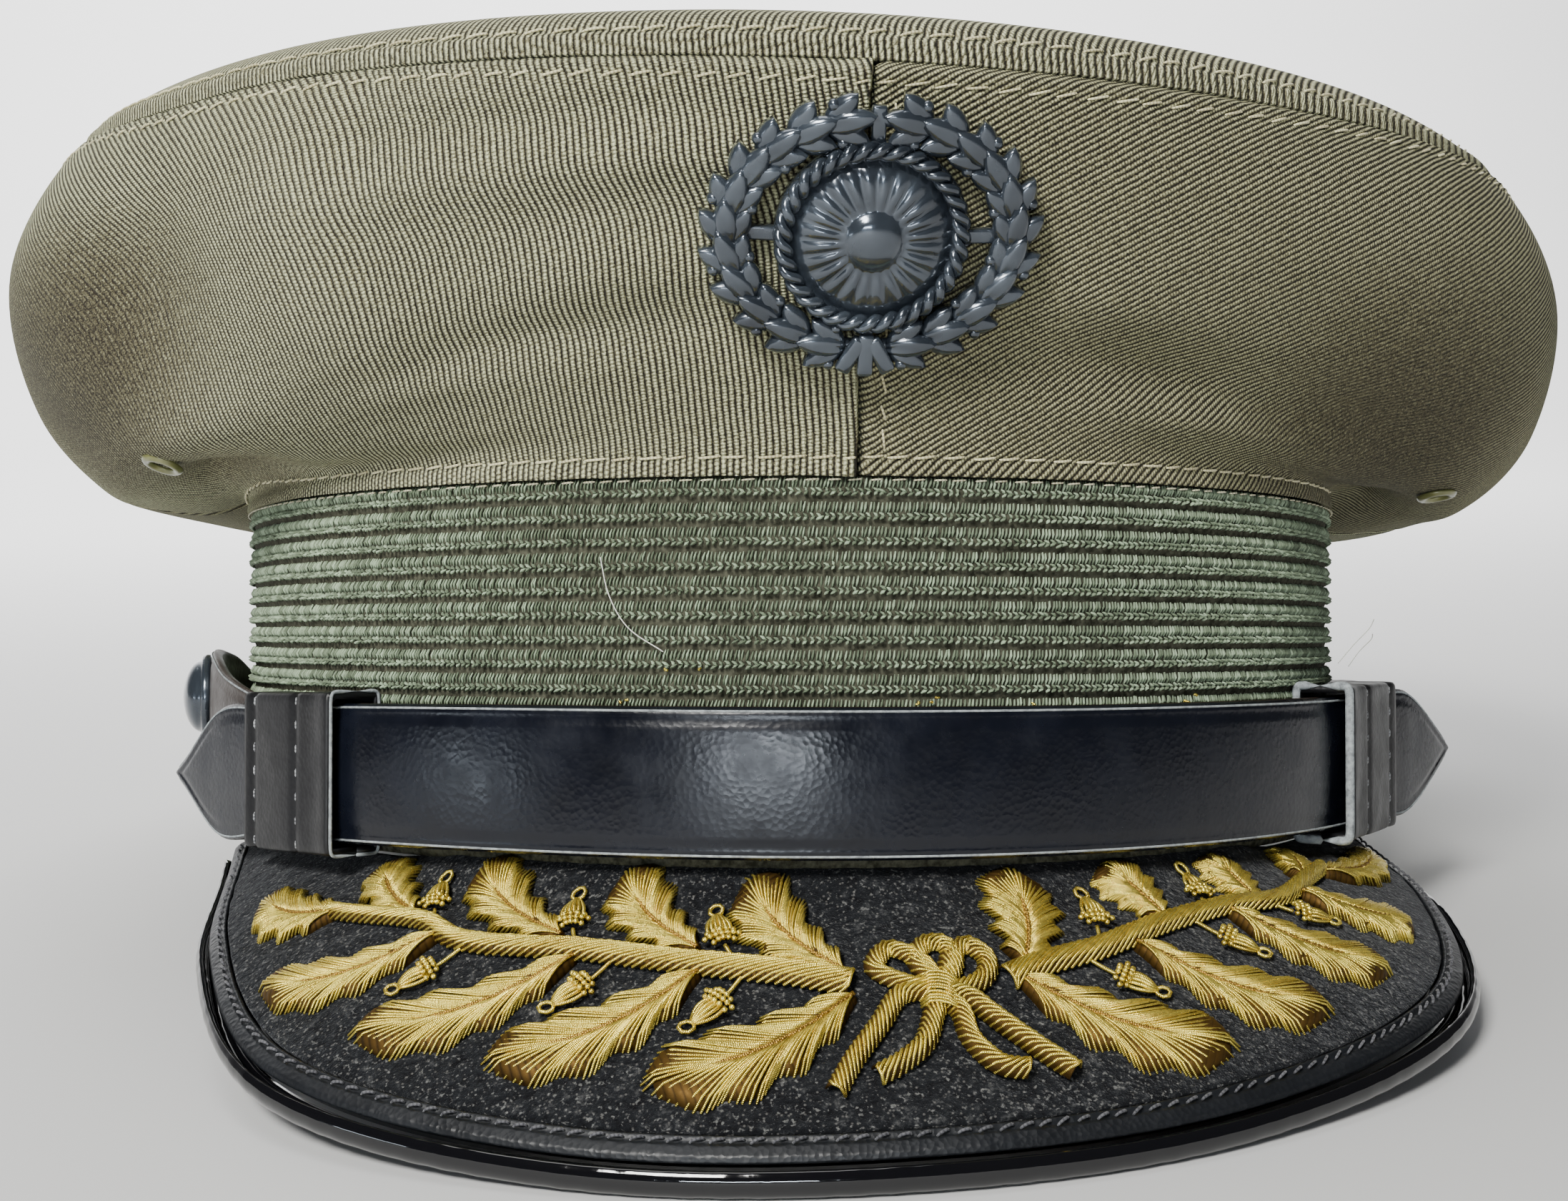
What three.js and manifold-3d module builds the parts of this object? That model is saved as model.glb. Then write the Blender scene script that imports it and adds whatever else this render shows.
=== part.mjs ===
// A peaked cap: a ribbed braid band, a soft crown of four quarters and a top,
// a cloth-covered peak with raised oak sprays, and a leather chin strap.
// Millimetres. -Y is the front, +X is on the right for someone who looks at the front, +Z is up.
import * as THREE from 'three';
import * as BufferGeometryUtils from 'three/addons/utils/BufferGeometryUtils.js';
import Module from 'manifold-3d';

const wasm = await Module();
wasm.setup();

// Driving dimensions
const gap = 0.3;
const bandHalfWidth = 88;
const bandHalfLength = 102;
const bandHeight = 48;
const bandWall = 3;
const ribCount = 16;
const ribDepth = 0.7;
const clothWall = 1.5;
const crownTurn = -3;
const crownSkew = 0.028;
const peakTurn = -1.2;
const peakRoll = 0.042;
const peakOverhang = 34.8;
const peakSpan = 70;
const peakTuck = 2;
const peakTop = -0.5;
const peakBulge = 2.5;
const peakCloth = 1.2;
const peakBoard = 1.8;
const rollRadius = 1.95;
const flangeReach = 6.4;
const flangeTop = 0.3;
const strapWidth = 18.2;
const strapFrontWall = 2.0;
const strapBackWall = 1.6;
const keeperWall = 1.6;
const keeperLining = 1.0;
const keeperEdge = 1.0;
const keeperEase = 0.3;
const buttonRadius = 6.7;
const buttonRise = 4.4;
const badgeHalfWidth = 20.5;
const badgeHalfHeight = 17.5;
const badgeTurn = -2.6;
const badgeLevel = 4.55;
const badgeSeat = 0.9;
const badgeBend = 120;
const bossRadius = 11.2;
const eyeletRadius = 3.0;
const eyeletSink = 0.05;

// The crown's outline from the band up over the edge to the middle of the top.
// Each row is one level; the z columns are the height at the front, the sides and the back.
const crownLevels = [
  // halfWidth, frontReach, backReach, frontZ, sideZ, backZ
  [88.3, 102.3, 102.3, 48.5, 48.5, 48.5],
  [89.0, 103.3, 103.5, 52.0, 50.1, 50.0],
  [95.2, 105.0, 112.0, 56.0, 47.8, 45.0],
  [103.6, 108.5, 126.0, 62.0, 47.7, 42.0],
  [111.4, 113.0, 134.0, 69.5, 49.5, 50.0],
  [121.0, 118.5, 137.0, 79.0, 60.0, 60.0],
  [124.0, 122.0, 136.0, 86.8, 79.0, 71.0],
  [114.6, 123.0, 130.0, 93.0, 96.6, 79.0],
  [101.5, 118.0, 123.0, 99.0, 103.2, 83.0],
  [90.0, 101.0, 105.0, 101.5, 100.0, 85.0],
  [50.0, 60.0, 60.0, 97.5, 92.0, 85.0],
  [0, 0, 0, 91, 91, 91],
];
const crownColumns = { halfWidth: 0, frontReach: 1, backReach: 2, frontZ: 3, sideZ: 4, backZ: 5 };
const topSeam = 7;
const seamHalf = 0.016;
const seamTurn = 0.11;

// Hollows (minus) and swellings (plus) of the soft crown, in degrees around and in levels.
const crownDents = [
  // around, level, spreadAround, spreadLevel, push
  [-52, 5.3, 10, 1.15, -7.0],
  [-36, 4.3, 6, 1.2, 2.0],
  [-68, 1.9, 11, 0.9, -7.0],
  [-23, 6.0, 12, 0.35, -1.6],
  [-17, 4.8, 11, 0.35, -1.4],
  [-21, 3.5, 12, 0.4, -1.6],
  [18, 3.0, 11, 0.6, -2.6],
  [41, 3.4, 13, 1.0, -3.4],
  [70, 1.8, 10, 0.9, -5.0],
  [40, 6.0, 14, 0.8, 1.5],
  [150, 4.2, 14, 0.9, -2.2],
  [-140, 5.2, 16, 1.0, -2.2],
];

// The peak's outer edge: how far it stands out from the band and how far it drops.
const peakEdge = [
  // around, overhang, drop
  [-18, 34.5, 26.7],
  [0, peakOverhang, 27.8],
  [18, 34.5, 26.7],
  [36, 32.3, 21.3],
  [52, 19.7, 13.4],
  [66, 7.6, 8.0],
  [80, 1.5, 0],
];

// The strap's course round the band: distance of its inner face from the braid,
// height of its middle, and half of its width there.
const frontStrapCourse = [
  // around, away, height, halfWidth
  [-73.5, 9.6, 8.2, 0.6],
  [-71.5, 8.6, 8.3, 2.6],
  [-66, 5.9, 8.9, 9.1],
  [-59, 3.9, 9.8, 9.1],
  [-46, 3.5, 10.6, 9.1],
  [-30, 2.4, 10.9, 9.1],
  [0, 2.3, 10.9, 9.1],
  [30, 2.4, 10.9, 9.1],
  [45, 3.5, 10.9, 9.1],
  [58.4, 5.7, 11.0, 9.1],
  [63, 9.4, 11.0, 9.1],
  [68.2, 14.8, 11.0, 2.6],
  [69.6, 16.3, 11.0, 0.6],
];
const backStrapCourse = [
  // around, away, height, halfWidth
  [-92, 0.5, 17.6, 5.0],
  [-88, 2.4, 18.2, 7.4],
  [-83.6, 3.9, 18.4, 8.0],
  [-77, 4.2, 16.8, 8.6],
  [-70, 3.7, 13.6, 9.0],
  [-59, 1.9, 10.4, 9.1],
  [-46, 1.5, 10.6, 9.1],
  [-30, 0.4, 10.9, 9.1],
  [0, 0.4, 10.9, 9.1],
  [30, 0.4, 10.9, 9.1],
  [45, 1.5, 10.9, 9.1],
  [58.4, 3.6, 11.2, 9.1],
  [66, 4.8, 11.8, 9.0],
  [77, 4.6, 12.6, 8.6],
  [83.6, 3.9, 13.0, 8.0],
  [88, 2.4, 13.0, 7.4],
  [92, 0.5, 13.0, 5.0],
];
const keeperSpans = {
  keeper_left: [-59, -46],
  keeper_right: [45.5, 58.4],
};
const buttonPlaces = {
  button_left: [-83.6, 19.0],
  button_right: [83.6, 12.6],
};
const eyeletPlaces = {
  eyelet_left: [-63.5, 3.32],
  eyelet_right: [62.5, 3.26],
};

// Oak leaves: base and tip by degrees around and by share of the peak's depth.
const leavesLeft = [
  // baseAround, baseOut, tipAround, tipOut, width
  [-42.0, 0.36, -51.0, 0.50, 10.5],
  [-35.0, 0.285, -42.5, 0.10, 9.5],
  [-22.7, 0.29, -32.0, 0.07, 10],
  [-13.0, 0.31, -19.6, 0.07, 10],
  [-3.4, 0.39, -9.9, 0.08, 10.5],
  [-31.8, 0.34, -42.0, 0.73, 9],
  [-21.1, 0.36, -32.3, 0.72, 10],
  [-12.6, 0.39, -23.2, 0.717, 10.5],
  [-2.9, 0.47, -13.9, 0.73, 11.5],
];
const leavesRight = [
  [8.4, 0.39, 10.4, 0.07, 11],
  [20.6, 0.28, 19.2, 0.07, 9.5],
  [29.6, 0.29, 30.4, 0.08, 9],
  [38.0, 0.25, 41.2, 0.11, 7.5],
  [41.7, 0.27, 55, 0.40, 8],
  [7.6, 0.434, 18.4, 0.75, 11.5],
  [17.0, 0.36, 26.3, 0.73, 10.5],
  [26.6, 0.30, 33.7, 0.70, 9.5],
  [35.3, 0.31, 41.9, 0.65, 9],
];
const stemLeft = [
  // around, out
  [-3.0, 0.425],
  [-6.8, 0.386],
  [-13.0, 0.357],
  [-21.0, 0.332],
  [-29.5, 0.35],
  [-34.5, 0.30],
  [-42.9, 0.37],
];
const stemRight = [
  [6.9, 0.435],
  [9.5, 0.396],
  [14.0, 0.361],
  [20.3, 0.30],
  [27.0, 0.28],
  [32.2, 0.305],
  [38.0, 0.265],
  [42.0, 0.25],
];
const acornsLeft = [
  // baseAround, baseOut, tipAround, tipOut
  [-32.7, 0.31, -35.2, 0.09],
  [-21.3, 0.32, -23.0, 0.11],
  [-10.1, 0.36, -12.4, 0.12],
  [-29.2, 0.365, -33.5, 0.63],
  [-18.3, 0.35, -23.1, 0.60],
  [-9.6, 0.385, -14.2, 0.625],
];
const acornsRight = [
  [14.3, 0.35, 15.5, 0.11],
  [24.8, 0.28, 26.2, 0.10],
  [12.6, 0.38, 18.4, 0.60],
  [22.8, 0.30, 27.0, 0.545],
  [31.0, 0.31, 35.0, 0.49],
];
// The leaf's half outline: share of its length, share of half of its width.
const leafLobes = [
  [0, 0.10],
  [0.14, 0.55],
  [0.24, 0.40],
  [0.42, 0.95],
  [0.52, 0.66],
  [0.70, 1.0],
  [0.78, 0.66],
  [0.93, 0.55],
  [1, 0.12],
];
const bowRibbons = [
  // each ribbon is a run of points: around, out
  [[2.2, 0.457], [0.3, 0.433], [-1.4, 0.38], [-0.4, 0.313], [1.5, 0.356], [2.4, 0.438]],
  [[2.5, 0.446], [1.4, 0.369], [2.0, 0.305], [3.4, 0.304], [3.8, 0.362], [2.8, 0.447]],
  [[2.9, 0.447], [3.7, 0.349], [4.95, 0.313], [6.0, 0.369], [5.2, 0.437], [3.2, 0.472]],
  [[2.0, 0.47], [-0.1, 0.475], [-1.5, 0.56], [-3.2, 0.67], [-4.25, 0.76]],
  [[2.3, 0.50], [1.7, 0.54], [0.8, 0.63], [-0.8, 0.69], [-2.0, 0.72]],
  [[2.5, 0.50], [3.3, 0.54], [3.5, 0.63], [4.6, 0.71], [6.1, 0.732]],
  [[2.8, 0.48], [4.0, 0.50], [5.6, 0.59], [7.2, 0.68], [8.6, 0.755]],
];
const reliefLift = 1.12;
const leafRise = 0.9;
const stemRise = 1.3;
const stemWidthsLeft = [4.2, 2.4];
const stemWidthsRight = [3.8, 2.2];
const knotRise = 1.6;
const ribbonWidth = 2.3;

// Small helpers
const radians = (degrees) => degrees * Math.PI / 180;
const vector = (x, y, z) => new THREE.Vector3(x, y, z);
const steps = (from, to, count) => Array.from({ length: count + 1 }, (_, i) => from + (to - from) * i / count);

// A smooth value between the rows of a table whose first column, or row number, is the position.
function smooth(rows, x, column, byRow = false) {
  const at = (i) => (byRow ? i : rows[i][0]);
  const last = rows.length - 1;
  const here = Math.min(Math.max(x, at(0)), at(last));
  let i = 0;
  while (i < last - 1 && here > at(i + 1)) i += 1;
  const slope = (k) => {
    const a = Math.max(k - 1, 0);
    const b = Math.min(k + 1, last);
    return (rows[b][column] - rows[a][column]) / (at(b) - at(a));
  };
  const span = at(i + 1) - at(i);
  const u = (here - at(i)) / span;
  const start = rows[i][column];
  const end = rows[i + 1][column];
  return (2 * u ** 3 - 3 * u ** 2 + 1) * start + (u ** 3 - 2 * u ** 2 + u) * span * slope(i)
    + (3 * u ** 2 - 2 * u ** 3) * end + (u ** 3 - u ** 2) * span * slope(i + 1);
}

// A closed solid from sections that all have the same number of corners. Where the run doesn't
// close on itself, each end is filled like a ladder between the first half of the corners and the last.
function sweep(sections, closed) {
  const corners = sections[0].length;
  const positions = sections.flat().flatMap((p) => [p.x, p.y, p.z]);
  const faces = [];
  const runs = closed ? sections.length : sections.length - 1;
  for (let i = 0; i < runs; i += 1) {
    const a = i * corners;
    const b = ((i + 1) % sections.length) * corners;
    for (let j = 0; j < corners; j += 1) {
      const k = (j + 1) % corners;
      faces.push(a + j, b + j, b + k, a + j, b + k, a + k);
    }
  }
  if (!closed) {
    const end = (sections.length - 1) * corners;
    for (let j = 0, k = corners - 1; j + 1 < k; j += 1, k -= 1) {
      faces.push(j, j + 1, k, end + j, end + k, end + j + 1);
      if (j + 1 < k - 1) faces.push(j + 1, k - 1, k, end + j + 1, end + k, end + k - 1);
    }
  }
  return outward(positions, faces);
}

// A geometry whose faces point out, whichever way round its sections ran.
function outward(positions, faces) {
  let volume = 0;
  const corner = (i) => vector(positions[3 * i], positions[3 * i + 1], positions[3 * i + 2]);
  for (let i = 0; i < faces.length; i += 3) {
    volume += corner(faces[i]).dot(corner(faces[i + 1]).cross(corner(faces[i + 2])));
  }
  if (volume < 0) faces.reverse();
  const geometry = new THREE.BufferGeometry();
  geometry.setAttribute('position', new THREE.Float32BufferAttribute(positions, 3));
  geometry.setIndex(faces);
  return geometry;
}

function toSolid(geometry) {
  const bare = geometry.clone();
  bare.deleteAttribute('normal');
  bare.deleteAttribute('uv');
  const merged = BufferGeometryUtils.mergeVertices(bare, 1e-4);
  const vertProperties = new Float32Array(merged.attributes.position.array);
  const triVerts = new Uint32Array(merged.index.array);
  return new wasm.Manifold(new wasm.Mesh({ numProp: 3, vertProperties, triVerts }));
}

function fuse(geometries) {
  return geometries.map(toSolid).reduce((whole, piece) => whole.add(piece));
}

function toGeometry(solid, place = (x, y, z) => [x, y, z]) {
  const mesh = solid.getMesh();
  const positions = [];
  for (let i = 0; i < mesh.vertProperties.length; i += mesh.numProp) {
    const [x, y, z] = mesh.vertProperties.slice(i, i + 3);
    positions.push(...place(x, y, z));
  }
  return outward(positions, Array.from(mesh.triVerts));
}

// A point beside the band's oval, by degrees around from the front and distance outwards.
function beside(around, away, height) {
  const turn = radians(around);
  const normal = vector(Math.sin(turn) / bandHalfWidth, -Math.cos(turn) / bandHalfLength, 0).normalize();
  return vector(bandHalfWidth * Math.sin(turn), -bandHalfLength * Math.cos(turn), height)
    .addScaledVector(normal, away);
}

// Band
function bandBraid() {
  const pitch = bandHeight / ribCount;
  const profile = [];
  for (let i = 0; i <= 2 * ribCount; i += 1) profile.push([i % 2 ? 0 : -ribDepth, i * pitch / 2]);
  profile.push([-bandWall, bandHeight], [-bandWall, 0]);
  const aroundSteps = steps(0, 360, 36).slice(0, -1);
  return sweep(aroundSteps.map((around) => profile.map(([away, z]) => beside(around, away, z))), true);
}

// Crown
function crownBase(around, level) {
  const row = {};
  for (const [name, column] of Object.entries(crownColumns)) {
    row[name] = smooth(crownLevels, level, column, true);
  }
  const c = Math.cos(radians(around));
  const s = Math.sin(radians(around));
  const x = row.halfWidth * s;
  const y = -(c > 0 ? row.frontReach : row.backReach) * c;
  const endZ = c > 0 ? row.frontZ : row.backZ;
  const rise = Math.min(Math.max((level - 1) / 4, 0), 1);
  return vector(x, y, row.sideZ + (endZ - row.sideZ) * c * c - crownSkew * x * rise);
}

function crownNormal(around, level) {
  const across = crownBase(around + 0.5, level).sub(crownBase(around - 0.5, level));
  const up = crownBase(around, level + 0.05).sub(crownBase(around, level - 0.05));
  return across.cross(up).normalize();
}

function crownPoint(around, level, depth = 0) {
  let push = 0;
  for (const [dentAround, dentLevel, spreadAround, spreadLevel, amount] of crownDents) {
    const turn = ((around - dentAround + 540) % 360) - 180;
    push += amount * Math.exp(-((turn / spreadAround) ** 2) - ((level - dentLevel) / spreadLevel) ** 2);
  }
  return crownBase(around, level).addScaledVector(crownNormal(around, level), push - depth);
}

function crownQuarter(from, to) {
  const levels = [0, 0.6, 1.2, 2, 3, 4, 4.8, 5.6, 6.3, topSeam - seamHalf];
  const sections = steps(from, to, 15).map((around) => [
    ...levels.map((v) => crownPoint(around, v)),
    ...levels.toReversed().map((v) => crownPoint(around, v, clothWall)),
  ]);
  return sweep(sections, false);
}

function crownTop() {
  const levels = [topSeam + seamHalf, 7.5, 8, 8.8, 10];
  const around = steps(0, 360, 40).slice(0, -1);
  const positions = [];
  const faces = [];
  const rings = [...levels.map((v) => [v, 0]), ...levels.toReversed().map((v) => [v, clothWall])];
  for (const [level, depth] of rings) {
    for (const turn of around) positions.push(...crownPoint(turn, level, depth).toArray());
  }
  const middle = crownLevels.at(-1)[crownColumns.sideZ];
  positions.push(0, 0, middle, 0, 0, middle - clothWall);
  const count = around.length;
  const half = levels.length;
  const poleOut = rings.length * count;
  for (let j = 0; j < count; j += 1) {
    const k = (j + 1) % count;
    for (let i = 0; i < rings.length; i += 1) {
      const a = i * count;
      const b = ((i + 1) % rings.length) * count;
      if (i !== half - 1) faces.push(a + j, a + k, b + k, a + j, b + k, b + j);
    }
    const outer = (half - 1) * count;
    const inner = half * count;
    faces.push(outer + j, outer + k, poleOut, inner + k, inner + j, poleOut + 1);
  }
  return outward(positions, faces);
}

// Peak: its cloth's upper face, by degrees around, share of the way out and height over the face.
function peakBase(around, out) {
  const reach = smooth(peakEdge, Math.abs(around), 1);
  const drop = smooth(peakEdge, Math.abs(around), 2);
  const inner = beside(around + peakTurn, -peakTuck, peakTop);
  const outer = beside(around + peakTurn, reach, -drop);
  outer.z += peakRoll * outer.x * Math.min(reach / peakOverhang, 1);
  const along = outer.clone().sub(inner);
  const side = vector(-along.y, along.x, 0);
  const up = side.cross(along).normalize();
  if (up.z < 0) up.negate();
  const middle = inner.clone().add(outer).multiplyScalar(0.5).addScaledVector(up, peakBulge);
  const point = inner.multiplyScalar((1 - out) ** 2);
  point.addScaledVector(middle, 2 * out * (1 - out));
  return point.addScaledVector(outer, out * out);
}

function peakPoint(around, out, over) {
  const across = peakBase(around + 0.5, out).sub(peakBase(around - 0.5, out));
  const outwards = peakBase(around, out + 0.02).sub(peakBase(around, out - 0.02));
  const up = across.cross(outwards).normalize();
  if (up.z < 0) up.negate();
  return peakBase(around, out).addScaledVector(up, over);
}

function peakDepth(around) {
  return peakBase(around, 0).distanceTo(peakBase(around, 1));
}

const peakTurns = steps(-peakSpan, peakSpan, 20);

function peakLayer(edgeInset, top, bottom, outSteps) {
  const sections = peakTurns.map((around) => {
    const end = 1 - edgeInset / peakDepth(around);
    const outs = steps(0, end, outSteps);
    return [
      ...outs.map((out) => peakPoint(around, out, top)),
      ...outs.toReversed().map((out) => peakPoint(around, out, bottom)),
    ];
  });
  return sweep(sections, false);
}

function peakBinding() {
  const rollMiddle = flangeTop + 0.1 - rollRadius;
  const profile = [[flangeReach, flangeTop], [rollRadius * 2, flangeTop + 0.05]];
  for (const turn of steps(90, 306, 6)) {
    const a = radians(turn);
    profile.push([rollRadius * (1 + Math.cos(a)), rollMiddle + rollRadius * Math.sin(a)]);
  }
  profile.push([rollRadius * 2 - 0.05, -peakCloth], [flangeReach, -peakCloth]);
  const sections = peakTurns.map((around) => {
    const depth = peakDepth(around);
    return profile.map(([inset, over]) => peakPoint(around, 1 - inset / depth, over));
  });
  return sweep(sections, false);
}

// Strap parts
function courseSection(course, around, inner, outer) {
  const away = smooth(course, around, 1);
  const height = smooth(course, around, 2);
  const half = smooth(course, around, 3);
  const corner = (depth, z) => beside(around, away + depth, z);
  return [
    corner(inner, height - half),
    corner(outer, height - half),
    corner(outer, height + half),
    corner(inner, height + half),
  ];
}

function strap(course, wall) {
  const turns = [];
  for (let i = 0; i < course.length - 1; i += 1) {
    const parts = Math.max(1, Math.round((course[i + 1][0] - course[i][0]) / 6));
    turns.push(...steps(course[i][0], course[i + 1][0], parts).slice(0, -1));
  }
  turns.push(course.at(-1)[0]);
  return sweep(turns.map((around) => courseSection(course, around, 0, wall)), false);
}

// A leather loop round both layers of the strap, open at both ends.
function keeper([from, to]) {
  const loops = steps(from, to, 3).map((around) => {
    const innerAway = smooth(backStrapCourse, around, 1) - gap;
    const outerAway = smooth(frontStrapCourse, around, 1) + strapFrontWall + gap;
    const height = (smooth(backStrapCourse, around, 2) + smooth(frontStrapCourse, around, 2)) / 2;
    const half = strapWidth / 2 + keeperEase + gap;
    const ring = (back, front, edge) => [
      beside(around, innerAway - back, height - half - edge),
      beside(around, outerAway + front, height - half - edge),
      beside(around, outerAway + front, height + half + edge),
      beside(around, innerAway - back, height + half + edge),
    ];
    return { hole: ring(0, 0, 0), skin: ring(keeperLining, keeperWall, keeperEdge) };
  });
  const sections = [0, 1, 2, 3].map((corner) => [
    ...loops.map((loop) => loop.skin[corner]),
    ...loops.toReversed().map((loop) => loop.hole[corner]),
  ]);
  return sweep(sections, true);
}

// A domed button, its flat back on the strap.
function button([around, height]) {
  const away = smooth(backStrapCourse, around, 1) + strapBackWall + gap;
  const profile = [[0, 0], [buttonRadius - 0.6, 0], [buttonRadius, 0.7], [buttonRadius - 0.3, 1.5]];
  for (const turn of [35, 60]) {
    profile.push([buttonRadius * Math.cos(radians(turn)), 1.5 + (buttonRise - 1.5) * Math.sin(radians(turn))]);
  }
  profile.push([0, buttonRise]);
  const shape = new THREE.LatheGeometry(profile.map(([r, y]) => new THREE.Vector2(r, y)), 14);
  const out = beside(around, 1, height).sub(beside(around, 0, height));
  const turn = new THREE.Quaternion().setFromUnitVectors(vector(0, 1, 0), out);
  shape.applyQuaternion(turn);
  shape.translate(...beside(around, away, height).toArray());
  return toGeometry(toSolid(shape));
}

function eyelet([around, level]) {
  const profile = [[1.4, 0.1], [1.7, 0.6], [2.4, 0.7], [eyeletRadius, 0.1], [1.4, 0.1]];
  const shape = new THREE.LatheGeometry(profile.map(([r, y]) => new THREE.Vector2(r, y)), 12);
  const out = crownNormal(around, level);
  shape.applyQuaternion(new THREE.Quaternion().setFromUnitVectors(vector(0, 1, 0), out));
  shape.translate(...crownPoint(around, level, eyeletSink).toArray());
  return toGeometry(toSolid(shape));
}

// Cap badge: an oval wreath of leaves round a domed boss, cast in one piece and bent to the crown.
function capBadge() {
  const pieces = [];
  const oval = (x, y, rx, ry) => new THREE.Shape().absellipse(x, y, rx, ry, 0, 2 * Math.PI);
  const ring = oval(0, 0, badgeHalfWidth - 2.5, badgeHalfHeight - 2.5);
  ring.holes.push(oval(0, 0, badgeHalfWidth - 5.5, badgeHalfHeight - 5.5));
  pieces.push(new THREE.ExtrudeGeometry(ring, { depth: 1.6, bevelEnabled: false, curveSegments: 10 }));
  const leaf = (x, y, turn, length, width) => {
    const shape = new THREE.SphereGeometry(1, 4, 2);
    shape.scale(length / 2, 1.5, width / 2);
    shape.rotateX(Math.PI / 2);
    shape.rotateZ(turn);
    shape.translate(x, y, 1.5);
    return shape;
  };
  const wreathWide = badgeHalfWidth - 4;
  const wreathHigh = badgeHalfHeight - 4;
  for (const side of [-1, 1]) {
    for (const around of steps(-76, 62, 5)) {
      const a = radians(around);
      const x = side * wreathWide * Math.cos(a);
      const y = wreathHigh * Math.sin(a);
      const course = Math.atan2(wreathHigh * Math.cos(a), -side * wreathWide * Math.sin(a));
      for (const lean of [-0.55, 0.55]) {
        const turn = course + lean;
        pieces.push(leaf(x + 1.9 * Math.cos(turn), y + 1.9 * Math.sin(turn), turn, 6.4, 3.0));
      }
    }
  }
  const bossProfile = [
    [0, 0], [bossRadius, 0], [bossRadius, 1.8], [10.2, 2.6], [9.2, 1.8], [6.6, 3.1], [3.4, 3.5], [0, 4.4],
  ];
  const boss = new THREE.LatheGeometry(bossProfile.map(([r, y]) => new THREE.Vector2(r, y)), 24);
  boss.rotateX(Math.PI / 2);
  boss.scale(1, 0.95, 1);
  pieces.push(boss);
  for (const spoke of [0, 90, 180, 270]) {
    const bar = new THREE.BoxGeometry(6, 1.8, 1.4);
    bar.translate(12, 0, 0.7);
    bar.rotateZ(radians(spoke));
    pieces.push(bar);
  }
  const place = crownNormal(badgeTurn, badgeLevel);
  const right = vector(0, 0, 1).cross(place).normalize().negate();
  const up = place.clone().cross(right).normalize();
  if (up.z < 0) up.negate();
  const seat = crownPoint(badgeTurn, badgeLevel, -badgeSeat);
  return toGeometry(fuse(pieces), (x, y, z) => {
    const sunk = z - (x * x) / (2 * badgeBend);
    return seat.clone().addScaledVector(right, x).addScaledVector(up, y).addScaledVector(place, sunk).toArray();
  });
}

// Raised ornament on the peak. It is drawn flat, in degrees around and in share of the way out,
// stretched so that both run in about the same units, fused, and then laid on the peak.
const chartOut = 22;

function chartPrism(outline, rise) {
  const shape = new THREE.Shape(outline.map(([u, v]) => new THREE.Vector2(u, v)));
  return new THREE.ExtrudeGeometry(shape, { depth: rise, bevelEnabled: false });
}

// Millimetres for one degree around and for the whole way out, at a place on the peak.
function peakMetric(around, out) {
  const perDegree = peakBase(around + 0.5, out).distanceTo(peakBase(around - 0.5, out));
  const perOut = peakBase(around, out + 0.05).distanceTo(peakBase(around, out - 0.05)) * 10;
  return [perDegree, perOut];
}

// A strip along points of the chart, with a half width in mm for each.
function chartStrip(points, halfWidths) {
  const left = [];
  const right = [];
  points.forEach(([around, out], i) => {
    const [a, b] = [points[Math.max(i - 1, 0)], points[Math.min(i + 1, points.length - 1)]];
    const [perDegree, perOut] = peakMetric(around, out);
    const run = new THREE.Vector2((b[0] - a[0]) * perDegree, (b[1] - a[1]) * perOut).normalize();
    const half = halfWidths[i];
    const du = -run.y * half / perDegree;
    const dv = run.x * half / perOut;
    left.push([around + du, (out + dv) * chartOut]);
    right.push([around - du, (out - dv) * chartOut]);
  });
  return [...left, ...right.toReversed()];
}

function alongRun(points, count) {
  const curve = new THREE.CatmullRomCurve3(points.map(([u, v]) => vector(u, v * chartOut, 0)));
  return curve.getPoints(count).map((p) => [p.x, p.y / chartOut]);
}

function leafPrism([baseAround, baseOut, tipAround, tipOut, width]) {
  const points = leafLobes.map(([share]) => [
    baseAround + (tipAround - baseAround) * share,
    baseOut + (tipOut - baseOut) * share,
  ]);
  return chartPrism(chartStrip(points, leafLobes.map(([, wide]) => wide * width / 2)), leafRise);
}

function acornPrism([baseAround, baseOut, tipAround, tipOut]) {
  const shares = [0, 0.45, 0.5, 0.75, 1];
  const halves = [0.5, 0.5, 2.0, 2.0, 0.6];
  const points = shares.map((share) => [
    baseAround + (tipAround - baseAround) * share,
    baseOut + (tipOut - baseOut) * share,
  ]);
  return chartPrism(chartStrip(points, halves), leafRise * 0.9);
}

function stripPrism(run, [startWidth, endWidth], count, rise) {
  const points = alongRun(run, count);
  const halves = points.map((_, i) => (startWidth + (endWidth - startWidth) * i / count) / 2);
  return chartPrism(chartStrip(points, halves), rise);
}

function onPeak(pieces) {
  return toGeometry(fuse(pieces), (u, v, z) => peakPoint(u, v / chartOut, reliefLift + z).toArray());
}

function oakSpray(leaves, acorns, stem, widths) {
  return onPeak([...leaves.map(leafPrism), ...acorns.map(acornPrism), stripPrism(stem, widths, 12, stemRise)]);
}

function bowKnot() {
  const knot = chartPrism(chartStrip([[2.55, 0.445], [2.4, 0.49], [2.2, 0.53]], [1.9, 2.3, 1.9]), knotRise);
  const halves = bowRibbons.flatMap((run) => [run.slice(0, 4), run.slice(3 - run.length)]);
  return onPeak([knot, ...halves.map((run) => stripPrism(run, [ribbonWidth, ribbonWidth], 4, stemRise))]);
}

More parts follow.
